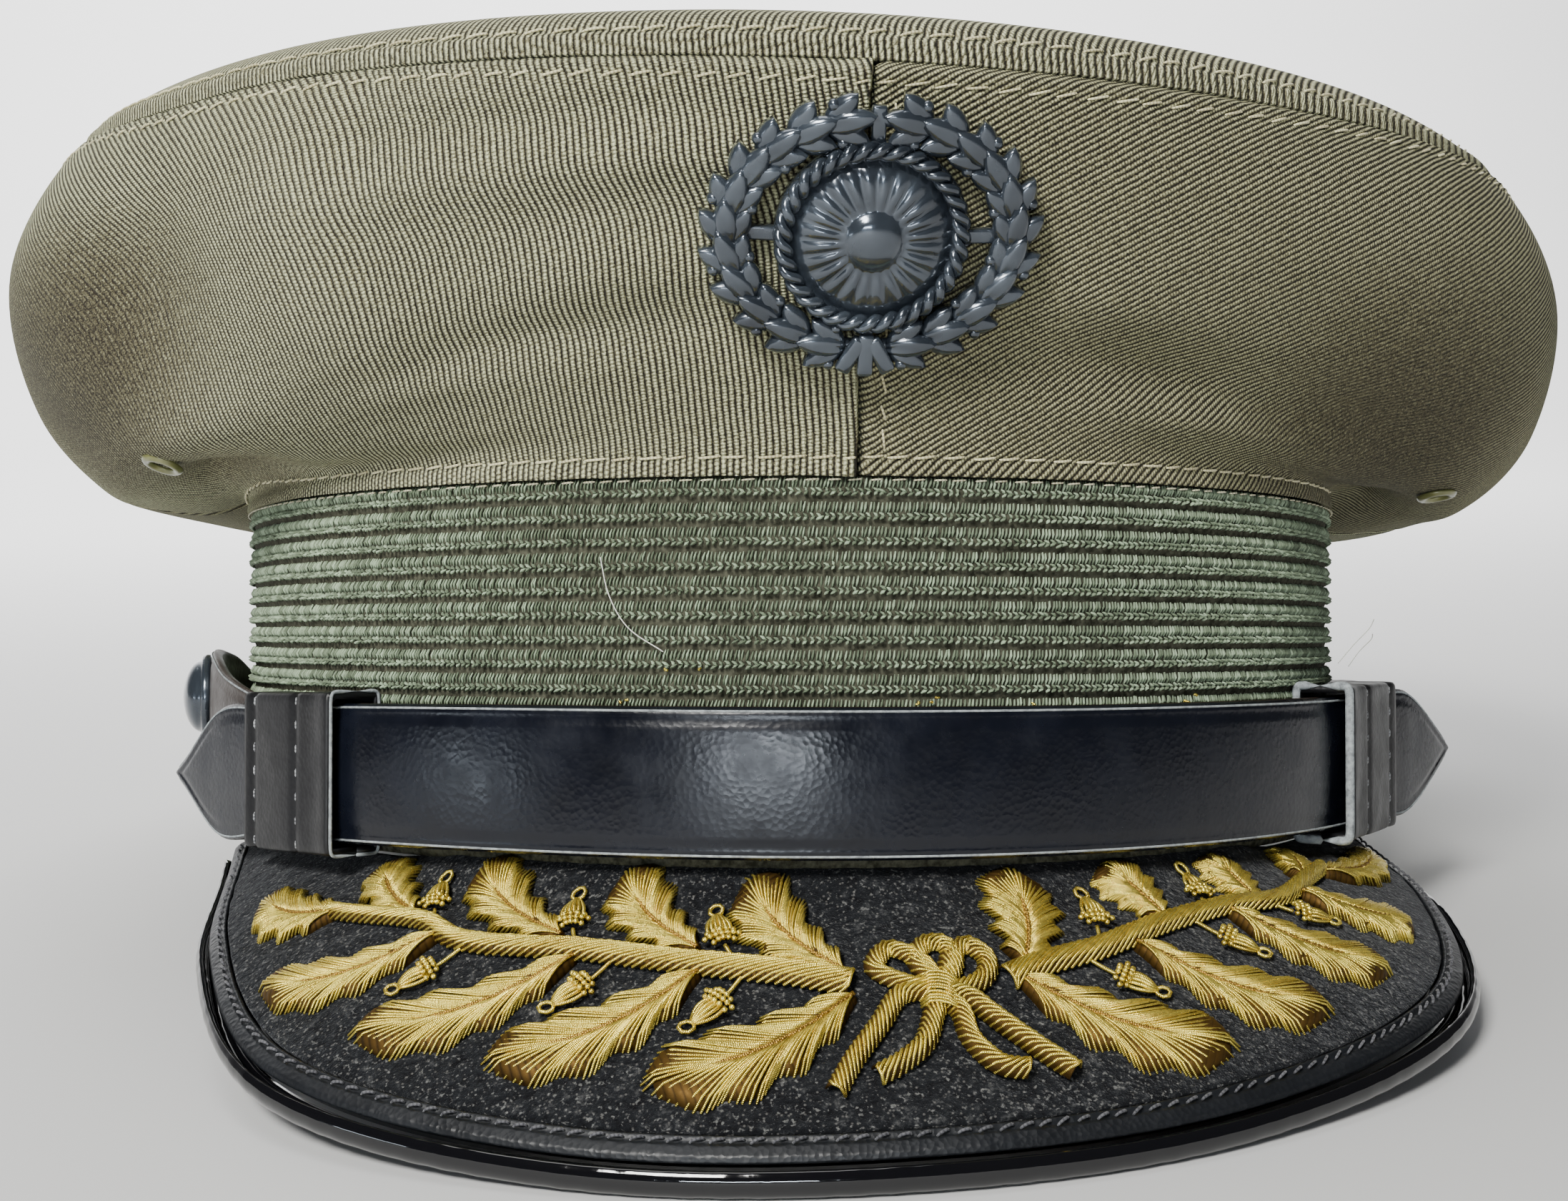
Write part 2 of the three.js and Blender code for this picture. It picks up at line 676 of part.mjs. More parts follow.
// Finishes
function finish(color, roughness, metalness = 0) {
  return new THREE.MeshStandardMaterial({ color, roughness, metalness });
}
const crownCloth = finish(0x5a543f, 0.9);
const braid = finish(0x59604a, 0.9);
const blackFelt = finish(0x17171a, 0.95);
const blackLeather = finish(0x0d0e12, 0.35);
const patent = finish(0x08080a, 0.12);
const bullion = finish(0xc9a24c, 0.4, 0.8);
const blackMetal = finish(0x15161a, 0.4, 0.7);
const eyeletPaint = finish(0x4c4833, 0.35, 0.5);

const cap = new THREE.Group();
function add(name, geometry, material) {
  geometry.computeVertexNormals();
  const mesh = new THREE.Mesh(geometry, material);
  mesh.name = name;
  cap.add(mesh);
}

add('band_braid', bandBraid(), braid);
add('crown_quarter_front_left', crownQuarter(-90 + seamTurn, crownTurn - seamTurn), crownCloth);
add('crown_quarter_front_right', crownQuarter(crownTurn + seamTurn, 90 - seamTurn), crownCloth);
add('crown_quarter_back_right', crownQuarter(90 + seamTurn, 180 + crownTurn - seamTurn), crownCloth);
add('crown_quarter_back_left', crownQuarter(180 + crownTurn + seamTurn, 270 - seamTurn), crownCloth);
add('crown_top', crownTop(), crownCloth);
add('peak_cloth', peakLayer(flangeReach + gap, 0, -peakCloth, 4), blackFelt);
const boardTop = -peakCloth - gap;
add('peak_board', peakLayer(rollRadius * 2 + gap, boardTop, boardTop - peakBoard, 3), blackLeather);
add('peak_binding', peakBinding(), patent);
add('strap_front', strap(frontStrapCourse, strapFrontWall), blackLeather);
add('strap_back', strap(backStrapCourse, strapBackWall), blackLeather);
for (const [name, span] of Object.entries(keeperSpans)) add(name, keeper(span), blackLeather);
for (const [name, place] of Object.entries(buttonPlaces)) add(name, button(place), blackMetal);
for (const [name, place] of Object.entries(eyeletPlaces)) add(name, eyelet(place), eyeletPaint);
add('cap_badge', capBadge(), blackMetal);
add('oak_spray_left', oakSpray(leavesLeft, acornsLeft, stemLeft, stemWidthsLeft), bullion);
add('oak_spray_right', oakSpray(leavesRight, acornsRight, stemRight, stemWidthsRight), bullion);
add('bow_knot', bowKnot(), bullion);

// The cap rests on two places of the peak's edge and on the back of the band.
const restTurn = 16;
const underEdge = (around) => peakPoint(around, 1 - rollRadius / peakDepth(around), 0.4 - 2 * rollRadius);
const frontLeft = underEdge(-restTurn);
const frontRight = underEdge(restTurn);
const back = beside(168, -ribDepth, 0);
const restUp = frontRight.clone().sub(frontLeft).cross(back.clone().sub(frontLeft)).normalize();
cap.quaternion.setFromUnitVectors(restUp, vector(0, 0, 1));
cap.updateMatrixWorld(true);
const box = new THREE.Box3().setFromObject(cap, true);
const centre = box.getCenter(vector(0, 0, 0));
cap.position.set(-centre.x, -centre.y, -box.min.z);

const part = new THREE.Group();
part.add(cap);
part.updateMatrixWorld(true);

export default part;
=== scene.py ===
"""The looks of a peaked cap: braid band, soft twill crown, felt peak with bullion sprays, leather strap.

Lengths are millimetres in the cap's own frame, where the band stands upright, -Y is the front and
+Z is up. Each finished piece is then tipped the way the cap rests and scaled to metres.
"""

import math

import bmesh
import bpy
import numpy as np
from mathutils import Matrix, Vector


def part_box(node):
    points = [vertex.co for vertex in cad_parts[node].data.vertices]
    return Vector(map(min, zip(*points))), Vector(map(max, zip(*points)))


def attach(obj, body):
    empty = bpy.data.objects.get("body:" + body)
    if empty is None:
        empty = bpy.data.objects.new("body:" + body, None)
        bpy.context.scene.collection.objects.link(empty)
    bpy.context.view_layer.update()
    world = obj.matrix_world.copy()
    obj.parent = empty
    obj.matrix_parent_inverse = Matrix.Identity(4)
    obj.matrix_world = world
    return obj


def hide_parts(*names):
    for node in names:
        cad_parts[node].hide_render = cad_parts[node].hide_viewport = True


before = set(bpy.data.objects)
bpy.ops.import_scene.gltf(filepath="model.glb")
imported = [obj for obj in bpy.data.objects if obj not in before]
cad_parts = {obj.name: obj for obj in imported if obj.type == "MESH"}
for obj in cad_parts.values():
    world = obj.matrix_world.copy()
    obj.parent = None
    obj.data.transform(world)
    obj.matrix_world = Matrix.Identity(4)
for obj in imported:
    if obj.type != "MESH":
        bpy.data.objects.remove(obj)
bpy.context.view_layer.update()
chance = np.random.default_rng(7)

# Driving dimensions, the same as the frame's
MM = 0.001
BAND_HALF_WIDTH = 88.0
BAND_HALF_LENGTH = 102.0
BAND_HEIGHT = 48.0
BAND_WALL = 3.0
RIB_COUNT = 16
RIB_PITCH = BAND_HEIGHT / RIB_COUNT
RIB_DEPTH = 0.7
CLOTH_WALL = 1.5
CROWN_TURN = -3.0
CROWN_SKEW = 0.028
PEAK_TURN = -1.2
PEAK_ROLL = 0.042
PEAK_OVERHANG = 34.8
PEAK_SPAN = 70.0
PEAK_TUCK = 2.0
PEAK_TOP = -0.5
PEAK_BULGE = 2.5
PEAK_CLOTH = 1.2
PEAK_COVE = 1.7
PEAK_COVE_PLACE = 0.045
PEAK_COVE_WIDTH = 0.075
PEAK_COVE_SPAN = 43.0
PEAK_COVE_FADE = 7.0
PEAK_BOARD = 1.8
ROLL_RADIUS = 1.95
FLANGE_REACH = 6.4
FLANGE_TOP = 0.3
ROLL_CENTRE = FLANGE_TOP + 0.1 - ROLL_RADIUS
STRAP_WIDTH = 18.2
STRAP_FRONT_WALL = 2.0
STRAP_BACK_WALL = 1.6
GAP = 0.3
REST_TURN = 16
REST_BACK = 168
EDGE_SLACK = 0.001

# The crown's outline from the band up over the edge to the middle of the top, a row for each level
CROWN_LEVELS = [
    # half_width, front_reach, back_reach, front_z, side_z, back_z
    (88.3, 102.3, 102.3, 48.5, 48.5, 48.5),
    (89.0, 103.3, 103.5, 52.0, 50.1, 50.0),
    (95.2, 105.0, 112.0, 56.0, 47.8, 45.0),
    (103.6, 108.5, 126.0, 62.0, 47.7, 42.0),
    (111.4, 113.0, 134.0, 69.5, 49.5, 50.0),
    (121.0, 118.5, 137.0, 79.0, 60.0, 60.0),
    (124.0, 122.0, 136.0, 86.8, 79.0, 71.0),
    (114.6, 123.0, 130.0, 93.0, 96.6, 79.0),
    (101.5, 118.0, 123.0, 99.0, 103.2, 83.0),
    (90.0, 101.0, 105.0, 101.5, 100.0, 85.0),
    (50.0, 60.0, 60.0, 97.5, 92.0, 85.0),
    (0.0, 0.0, 0.0, 91.0, 91.0, 91.0),
]
TOP_SEAM = 7.0

# Hollows (minus) and swellings (plus) of the soft crown, in degrees around and in levels
CROWN_DENTS = [
    # around, level, spread_around, spread_level, push
    (-52, 5.3, 10, 1.15, -7.0),
    (-36, 4.3, 6, 1.2, 2.0),
    (-68, 1.9, 11, 0.9, -7.0),
    (-23, 6.0, 12, 0.35, -1.6),
    (-17, 4.8, 11, 0.35, -1.4),
    (-21, 3.5, 12, 0.4, -1.6),
    (18, 3.0, 11, 0.6, -2.6),
    (41, 3.4, 13, 1.0, -3.4),
    (70, 1.8, 10, 0.9, -5.0),
    (40, 6.0, 14, 0.8, 1.5),
    (150, 4.2, 14, 0.9, -2.2),
    (-140, 5.2, 16, 1.0, -2.2),
]

# Finer ripples than the solids hold
CROWN_RIPPLES = [
    # around, level, spread_around, spread_level, push
    (-30, 5.35, 9, 0.22, 0.5),
    (-14, 5.4, 8, 0.22, 0.5),
    (-14, 4.2, 9, 0.22, 0.4),
    (-30, 3.1, 8, 0.3, 0.5),
    (26, 2.3, 7, 0.4, 0.9),
    (12, 4.0, 7, 0.3, 0.4),
    (33, 2.6, 6, 0.35, -0.7),
    (52, 5.2, 9, 0.5, 0.6),
    (-57, 3.6, 6, 0.6, 1.2),
    (-75, 4.6, 8, 0.7, -1.2),
    (85, 3.6, 8, 0.7, -1.4),
]

# The peak's outer edge: how far it stands out from the band and how far it drops
PEAK_EDGE = [
    # around, overhang, drop
    (-18, 34.5, 26.7),
    (0, PEAK_OVERHANG, 27.8),
    (18, 34.5, 26.7),
    (36, 32.3, 21.3),
    (52, 19.7, 13.4),
    (66, 7.6, 8.0),
    (80, 1.5, 0.0),
]

# The strap's course: distance of its inner face from the braid, height of its middle, half its width
FRONT_STRAP = [
    # around, away, height, half_width
    (-73.5, 9.6, 8.2, 0.6),
    (-71.5, 8.6, 8.3, 2.6),
    (-66, 5.9, 8.9, 9.1),
    (-59, 3.9, 9.8, 9.1),
    (-46, 3.5, 10.6, 9.1),
    (-30, 2.4, 10.9, 9.1),
    (0, 2.3, 10.9, 9.1),
    (30, 2.4, 10.9, 9.1),
    (45, 3.5, 10.9, 9.1),
    (58.4, 5.7, 11.0, 9.1),
    (63, 9.4, 11.0, 9.1),
    (68.2, 14.8, 11.0, 2.6),
    (69.6, 16.3, 11.0, 0.6),
]
BACK_STRAP = [
    # around, away, height, half_width
    (-92, 0.5, 17.6, 5.0),
    (-88, 2.4, 18.2, 7.4),
    (-83.6, 3.9, 18.4, 8.0),
    (-77, 4.2, 16.8, 8.6),
    (-70, 3.7, 13.6, 9.0),
    (-59, 1.9, 10.4, 9.1),
    (-46, 1.5, 10.6, 9.1),
    (-30, 0.4, 10.9, 9.1),
    (0, 0.4, 10.9, 9.1),
    (30, 0.4, 10.9, 9.1),
    (45, 1.5, 10.9, 9.1),
    (58.4, 3.6, 11.2, 9.1),
    (66, 4.8, 11.8, 9.0),
    (77, 4.6, 12.6, 8.6),
    (83.6, 3.9, 13.0, 8.0),
    (88, 2.4, 13.0, 7.4),
    (92, 0.5, 13.0, 5.0),
]


def smooth(rows, at, column, by_row=False):
    """A smooth value between the rows of a table whose first column, or row number, is the position."""
    places = np.arange(len(rows), dtype=float) if by_row else np.array([row[0] for row in rows], float)
    values = np.array([row[column] for row in rows], float)
    slopes = np.empty_like(values)
    slopes[1:-1] = (values[2:] - values[:-2]) / (places[2:] - places[:-2])
    slopes[0] = (values[1] - values[0]) / (places[1] - places[0])
    slopes[-1] = (values[-1] - values[-2]) / (places[-1] - places[-2])
    here = np.clip(np.asarray(at, float), places[0], places[-1])
    i = np.clip(np.searchsorted(places, here) - 1, 0, len(places) - 2)
    span = places[i + 1] - places[i]
    u = (here - places[i]) / span
    return ((2 * u**3 - 3 * u**2 + 1) * values[i] + (u**3 - 2 * u**2 + u) * span * slopes[i]
            + (3 * u**2 - 2 * u**3) * values[i + 1] + (u**3 - u**2) * span * slopes[i + 1])


def points(x, y, z):
    return np.stack(np.broadcast_arrays(x, y, z), axis=-1).astype(float)


def unit(vectors):
    return vectors / np.maximum(np.linalg.norm(vectors, axis=-1, keepdims=True), 1e-9)


def hump(distance, width):
    """1 at distance 0, falling smoothly to nothing about two widths away."""
    return np.exp(-(np.asarray(distance, float) / width) ** 2)


def relief(distance, rows):
    """Grooves (minus) and ridges (plus) met along a distance, from rows of lift, place and width."""
    return sum(lift * hump(distance - place, width) for lift, place, width in rows)


def turn_from(around, other):
    """Degrees from another place around the cap, between -180 and 180."""
    return (around - other + 540) % 360 - 180


def lengths_along(places, axis=0):
    """The length run so far at each place of a line, 0 at its first."""
    first = np.take(places, [0], axis=axis)
    return np.cumsum(np.linalg.norm(np.diff(places, axis=axis, prepend=first), axis=-1), axis=axis)


def read_off(at, run, values):
    """The columns of a line's values at some lengths along it."""
    return np.stack([np.interp(at, run, column) for column in values.T], axis=-1)


def beside(around, away, height):
    """A point beside the band's oval: degrees around from the front, distance outwards, height."""
    turn = np.radians(np.asarray(around, float))
    normal = unit(points(np.sin(turn) / BAND_HALF_WIDTH, -np.cos(turn) / BAND_HALF_LENGTH, 0))
    base = points(BAND_HALF_WIDTH * np.sin(turn), -BAND_HALF_LENGTH * np.cos(turn), height)
    return base + normal * np.asarray(away, float)[..., None]


def crown_base(around, level):
    half_width, front, back, front_z, side_z, back_z = [
        smooth(CROWN_LEVELS, level, column, by_row=True) for column in range(6)]
    turn = np.radians(np.asarray(around, float))
    c, s = np.cos(turn), np.sin(turn)
    x = half_width * s
    end_z = np.where(c > 0, front_z, back_z)
    rise = np.clip((np.asarray(level, float) - 1) / 4, 0, 1)
    z = side_z + (end_z - side_z) * c * c - CROWN_SKEW * x * rise
    return points(x, -np.where(c > 0, front, back) * c, z)


def crown_normal(around, level):
    around, level = np.asarray(around, float), np.asarray(level, float)
    across = crown_base(around + 0.5, level) - crown_base(around - 0.5, level)
    up = crown_base(around, level + 0.05) - crown_base(around, level - 0.05)
    return unit(np.cross(across, up))


def crown_surface(around, level, lift=0.0):
    """A point of the crown's outer face, its dents included, lifted along its normal."""
    around, level = np.broadcast_arrays(np.asarray(around, float), np.asarray(level, float))
    push = np.zeros(around.shape) + lift
    for dent_around, dent_level, spread_around, spread_level, amount in CROWN_DENTS + CROWN_RIPPLES:
        turn = turn_from(around, dent_around)
        push = push + amount * hump(turn, spread_around) * hump(level - dent_level, spread_level)
    return crown_base(around, level) + crown_normal(around, level) * push[..., None]


def peak_base(around, out):
    around, out = np.broadcast_arrays(np.asarray(around, float), np.asarray(out, float))
    reach = smooth(PEAK_EDGE, np.abs(around), 1)
    drop = smooth(PEAK_EDGE, np.abs(around), 2)
    inner = beside(around + PEAK_TURN, np.full(around.shape, -PEAK_TUCK), PEAK_TOP)
    outer = beside(around + PEAK_TURN, reach, -drop)
    outer[..., 2] += PEAK_ROLL * outer[..., 0] * np.minimum(reach / PEAK_OVERHANG, 1)
    along = outer - inner
    side = points(-along[..., 1], along[..., 0], 0)
    up = unit(np.cross(side, along))
    up = np.where(up[..., 2:] < 0, -up, up)
    middle = (inner + outer) / 2 + PEAK_BULGE * up
    o = out[..., None]
    place = (1 - o) ** 2 * inner + 2 * o * (1 - o) * middle + o**2 * outer
    fade = np.clip((PEAK_COVE_SPAN - np.abs(around)) / PEAK_COVE_FADE, 0, 1)
    place[..., 2] += PEAK_COVE * fade * hump(out - PEAK_COVE_PLACE, PEAK_COVE_WIDTH)
    return place


def peak_normal(around, out):
    around, out = np.asarray(around, float), np.asarray(out, float)
    across = peak_base(around + 0.5, out) - peak_base(around - 0.5, out)
    outwards = peak_base(around, out + 0.02) - peak_base(around, out - 0.02)
    up = unit(np.cross(across, outwards))
    return np.where(up[..., 2:] < 0, -up, up)


def peak_surface(around, out, over=0.0):
    return peak_base(around, out) + peak_normal(around, out) * np.asarray(over, float)[..., None]


def peak_around(u):
    """Degrees around for a share of the peak's width."""
    return PEAK_SPAN * (2 * u - 1)


def peak_depth(around):
    return np.linalg.norm(peak_base(around, 0.0) - peak_base(around, 1.0), axis=-1)


def peak_inset(around, inset):
    """The share of the way out that lies this many mm in from the peak's edge."""
    return 1 - inset / peak_depth(around)


def rest_matrix():
    """From the cap's own frame in mm to the frame's in metres: it rests on the peak's edge and the band."""
    under = [peak_surface(turn, peak_inset(turn, ROLL_RADIUS), ROLL_CENTRE - ROLL_RADIUS)
             for turn in (-REST_TURN, REST_TURN)]
    back = beside(REST_BACK, -RIB_DEPTH, 0)
    up = Vector(np.cross(under[1] - under[0], back - under[0])).normalized()
    turn = up.rotation_difference(Vector((0, 0, 1))).to_matrix()
    low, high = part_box("band_braid")
    around = np.arange(0, 360, 10)
    rims = [
        # away, height
        (0.0, RIB_PITCH / 2),
        (0.0, BAND_HEIGHT - RIB_PITCH / 2),
        (-RIB_DEPTH, 0),
        (-RIB_DEPTH, BAND_HEIGHT),
    ]
    corners = [beside(around, away, height) for away, height in rims]
    turned = np.concatenate(corners) @ np.array(turn).T
    own_centre = Vector((turned.min(0) + turned.max(0)) / 2)
    shift = (low + high) / 2 / MM - own_centre
    return Matrix.Scale(MM, 4) @ Matrix.Translation(shift) @ turn.to_4x4()


TO_WORLD = rest_matrix()


# Making pieces
def to_world(places):
    turn = np.array(TO_WORLD)
    return places @ turn[:3, :3].T + turn[:3, 3]


def shade_smooth(mesh):
    mesh.polygons.foreach_set("use_smooth", np.ones(len(mesh.polygons), bool))


def piece(name, mesh, finish, node=None):
    """Puts a finished mesh in the scene, on the cap's one body."""
    obj = bpy.data.objects.new(name, mesh)
    bpy.context.scene.collection.objects.link(obj)
    if finish is not None:
        mesh.materials.append(finish)
    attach(obj, "root")
    for stood_for in ([node] if isinstance(node, str) else node or []):
        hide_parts(stood_for)
    return obj


def grid_mesh(name, columns, rows, place, chart, closed=False, outside=None):
    """A grid laid on a surface: place and chart take arrays of u and v from 0 to 1."""
    bm = bmesh.new()
    bmesh.ops.create_grid(bm, x_segments=columns, y_segments=rows, size=0.5)
    flat = np.array([v.co[:2] for v in bm.verts])
    flat = (flat - flat.min(0)) / (flat.max(0) - flat.min(0))
    placed = place(flat[:, 0], flat[:, 1])
    charted = chart(flat[:, 0], flat[:, 1])
    layer = bm.loops.layers.uv.new("UVMap")
    for face in bm.faces:
        for loop in face.loops:
            loop[layer].uv = charted[loop.vert.index]
    for vertex, co in zip(bm.verts, placed):
        vertex.co = co
    bmesh.ops.remove_doubles(bm, verts=bm.verts, dist=1e-4)
    if closed:
        bmesh.ops.recalc_face_normals(bm, faces=bm.faces)
    bm.normal_update()
    if outside is not None:
        middle = Vector(outside)
        if sum(f.normal.dot(f.calc_center_median() - middle) * f.calc_area() for f in bm.faces) < 0:
            bmesh.ops.reverse_faces(bm, faces=bm.faces)
    return to_mesh(name, bm)


def to_mesh(name, bm):
    bm.transform(TO_WORLD)
    mesh = bpy.data.meshes.new(name)
    bm.to_mesh(mesh)
    bm.free()
    shade_smooth(mesh)
    return mesh


def template(sides, stations):
    """A closed tube's corners (station, turn, girth) and its faces, from a sphere's rings."""
    bm = bmesh.new()
    bmesh.ops.create_uvsphere(bm, u_segments=sides, v_segments=stations + 1, radius=1.0)
    co = np.array([v.co for v in bm.verts])
    latitude = np.arccos(np.clip(co[:, 2], -1, 1)) / math.pi * (stations + 1)
    station = np.round(latitude).astype(int)
    turn = np.arctan2(co[:, 1], co[:, 0])
    ends = (station == 0) | (station == stations + 1)
    faces = [[v.index for v in f.verts] for f in bm.faces]
    bm.free()
    return np.clip(station - 1, 0, stations - 1), turn, ends, station == 0, faces


def tubes(name, paths, normals, radii, sides=5, squash=1.0, round_end=0.6):
    """Closed tubes along many paths at once.

    paths and normals are (tube, station, 3), radii (tube, station).
    """
    paths, normals = np.asarray(paths, float), np.asarray(normals, float)
    count, stations = paths.shape[:2]
    radii = np.broadcast_to(np.asarray(radii, float), (count, stations))
    station, turn, ends, first, faces = template(sides, stations)
    along = unit(np.gradient(paths, axis=1))
    side = unit(np.cross(along, normals))
    up = np.cross(side, along)
    girth = np.where(ends, 0.0, 1.0)[None, :, None] * radii[:, station][..., None]
    corners = paths[:, station] + girth * (np.cos(turn)[None, :, None] * side[:, station]
                                           + np.sin(turn)[None, :, None] * squash * up[:, station])
    push = np.where(ends, np.where(first, -1.0, 1.0), 0.0)[None, :, None] * round_end
    corners = corners + push * radii[:, station][..., None] * along[:, station]
    length = lengths_along(paths, axis=1)
    chart = np.stack([length[:, station], np.broadcast_to(turn[None], (count, len(turn)))], axis=-1)
    return joined(name, corners, chart, faces)


def joined(name, corners, chart, faces):
    """One mesh from many copies of a small one: corners and chart are (copy, corner, axes)."""
    count, per = corners.shape[:2]
    loops = np.array([i for face in faces for i in face])
    totals = np.array([len(face) for face in faces])
    offsets = (np.arange(count) * per)[:, None]
    mesh = bpy.data.meshes.new(name)
    mesh.vertices.add(count * per)
    mesh.vertices.foreach_set("co", to_world(corners.reshape(-1, 3)).ravel())
    all_loops = (loops[None] + offsets).ravel()
    all_totals = np.tile(totals, count)
    mesh.loops.add(len(all_loops))
    mesh.loops.foreach_set("vertex_index", all_loops)
    mesh.polygons.add(len(all_totals))
    mesh.polygons.foreach_set("loop_start", np.concatenate([[0], np.cumsum(all_totals)[:-1]]))
    mesh.polygons.foreach_set("loop_total", all_totals)
    layer = mesh.uv_layers.new(name="UVMap")
    layer.data.foreach_set("uv", chart.reshape(-1, 2)[all_loops].ravel())
    attribute = mesh.attributes.new("shade", "FLOAT", "POINT")
    attribute.data.foreach_set("value", np.repeat(chance.random(count), per).astype(np.float32))
    mesh.update(calc_edges=True)
    mesh.validate()
    shade_smooth(mesh)
    return mesh


def strands(name, paths, normals, radii, finish, slot, node=None, **shape):
    """A piece made of many closed tubes."""
    return piece(name, tubes(name, paths, normals, radii, **shape), finish, node)


def flat_grid(columns, rows):
    """The corners of a grid that runs from 0 to 1 both ways, and its faces."""
    bm = bmesh.new()
    bmesh.ops.create_grid(bm, x_segments=columns, y_segments=rows, size=0.5)
    flat = np.array([v.co[:2] for v in bm.verts]) + 0.5
    faces = [[v.index for v in f.verts] for f in bm.faces]
    bm.free()
    return flat, faces


def add_wall(obj, thickness, even=True):
    modifier = obj.modifiers.new("wall", "SOLIDIFY")
    modifier.thickness = thickness * MM
    modifier.offset = -1
    modifier.use_even_offset = even


def lathe(profile, steps):
    """A turned shape from a profile of radius and height, as a bmesh round the Z axis."""
    bm = bmesh.new()
    corners = [bm.verts.new((r, 0, z)) for r, z in profile]
    edges = [bm.edges.new(pair) for pair in zip(corners, corners[1:])]
    bmesh.ops.spin(bm, geom=corners + edges, cent=(0, 0, 0), axis=(0, 0, 1), angle=2 * math.pi,
                   steps=steps, use_merge=True)
    bmesh.ops.remove_doubles(bm, verts=bm.verts, dist=1e-3)
    bmesh.ops.recalc_face_normals(bm, faces=bm.faces)
    return bm


def seat_matrix(place, out):
    """Puts a shape made round the origin, facing +Z, at a place with its face towards out."""
    z = Vector(out).normalized()
    x = Vector((0, 0, 1)).cross(z).normalized()
    y = z.cross(x)
    turn = Matrix((x, y, z)).transposed().to_4x4()
    return Matrix.Translation(Vector(place)) @ turn


# Finishes
SOCKETS = {
    "color": "Base Color", "rough": "Roughness", "metal": "Metallic", "level": "Specular IOR Level",
    "sheen": "Sheen Weight", "sheen_rough": "Sheen Roughness", "sheen_tint": "Sheen Tint",
    "coat": "Coat Weight", "coat_rough": "Coat Roughness",
}


class Finish:
    """A material, with short ways to add the nodes that shape it."""

    def __init__(self, name, **fixed):
        self.material = bpy.data.materials.new(name)
        self.material.use_nodes = True
        self.tree = self.material.node_tree
        self.shader = self.tree.nodes["Principled BSDF"]
        for key, value in fixed.items():
            self.shader.inputs[SOCKETS[key]].default_value = value
        self.coordinates = None

    def node(self, kind, links=(), **settings):
        node = self.tree.nodes.new(kind)
        for key, value in settings.items():
            setattr(node, key, value)
        for socket, value in dict(links).items():
            self.feed(node.inputs[socket], value)
        return node

    def feed(self, socket, value):
        if isinstance(value, bpy.types.NodeSocket):
            self.tree.links.new(value, socket)
        elif isinstance(value, bpy.types.Node):
            self.tree.links.new(value.outputs[0], socket)
        else:
            socket.default_value = value

    def shape(self, **links):
        for key, value in links.items():
            self.feed(self.shader.inputs[SOCKETS[key]], value)
        return self.material

    def place(self, which="Object"):
        if self.coordinates is None:
            self.coordinates = self.tree.nodes.new("ShaderNodeTexCoord")
        return self.coordinates.outputs[which]

    def parts(self):
        """The two runs of the piece's chart, and nothing."""
        return self.node("ShaderNodeSeparateXYZ", {0: self.place("UV")}).outputs

    def math(self, operation, *values):
        return self.node("ShaderNodeMath", dict(enumerate(values)), operation=operation).outputs[0]

    def total(self, *terms):
        """The sum of some values, each times its share."""
        result = None
        for value, share in terms:
            part = value if share == 1 else self.math("MULTIPLY", value, share)
            result = part if result is None else self.math("ADD", result, part)
        return result

    def turned(self, angle):
        """The piece's chart turned by an angle: distance across the cords, and along them."""
        x, y, _ = self.parts()
        a = math.radians(angle)
        return self.total((x, math.cos(a)), (y, -math.sin(a))), self.total((x, math.sin(a)), (y, math.cos(a)))

    def wave(self, distance, pitch, shift=None):
        """A row of round ridges, 0 in the gaps and 1 on top."""
        phase = self.math("MULTIPLY", distance, math.pi / pitch)
        if shift is not None:
            phase = self.math("ADD", phase, shift)
        return self.math("ABSOLUTE", self.math("SINE", phase))

    def noise(self, scale, detail=2.0, rough=0.5, where=None):
        vector = self.place("Object") if where is None else where
        node = self.node("ShaderNodeTexNoise", {"Vector": vector, "Scale": scale, "Detail": detail,
                                                "Roughness": rough})
        return node.outputs["Fac"]

    def cells(self, scale, feature="F1"):
        links = {"Vector": self.place("Object"), "Scale": scale}
        return self.node("ShaderNodeTexVoronoi", links, feature=feature).outputs["Distance"]

    def ramp(self, factor, stops):
        node = self.node("ShaderNodeValToRGB", {0: factor})
        while len(node.color_ramp.elements) < len(stops):
            node.color_ramp.elements.new(0.5)
        for element, (position, value) in zip(node.color_ramp.elements, stops):
            element.position = position
            element.color = (*value, 1.0) if isinstance(value, tuple) else (value, value, value, 1.0)
        return node.outputs[0]

    def mix(self, factor, a, b, blend="MIX"):
        node = self.tree.nodes.new("ShaderNodeMix")
        node.data_type = "RGBA"
        node.blend_type = blend
        for socket, value in ((0, factor), (6, a), (7, b)):
            value = (*value, 1.0) if isinstance(value, tuple) and len(value) == 3 else value
            self.feed(node.inputs[socket], value)
        return node.outputs[2]

    def shade_of_strand(self):
        return self.node("ShaderNodeAttribute", attribute_name="shade").outputs["Fac"]

    def bump(self, height, distance, strength=1.0):
        """Raises and sinks the surface by a height of 0 to 1 times a distance in millimetres."""
        links = {"Height": height, "Distance": distance * MM, "Strength": strength}
        self.feed(self.shader.inputs["Normal"], self.node("ShaderNodeBump", links))


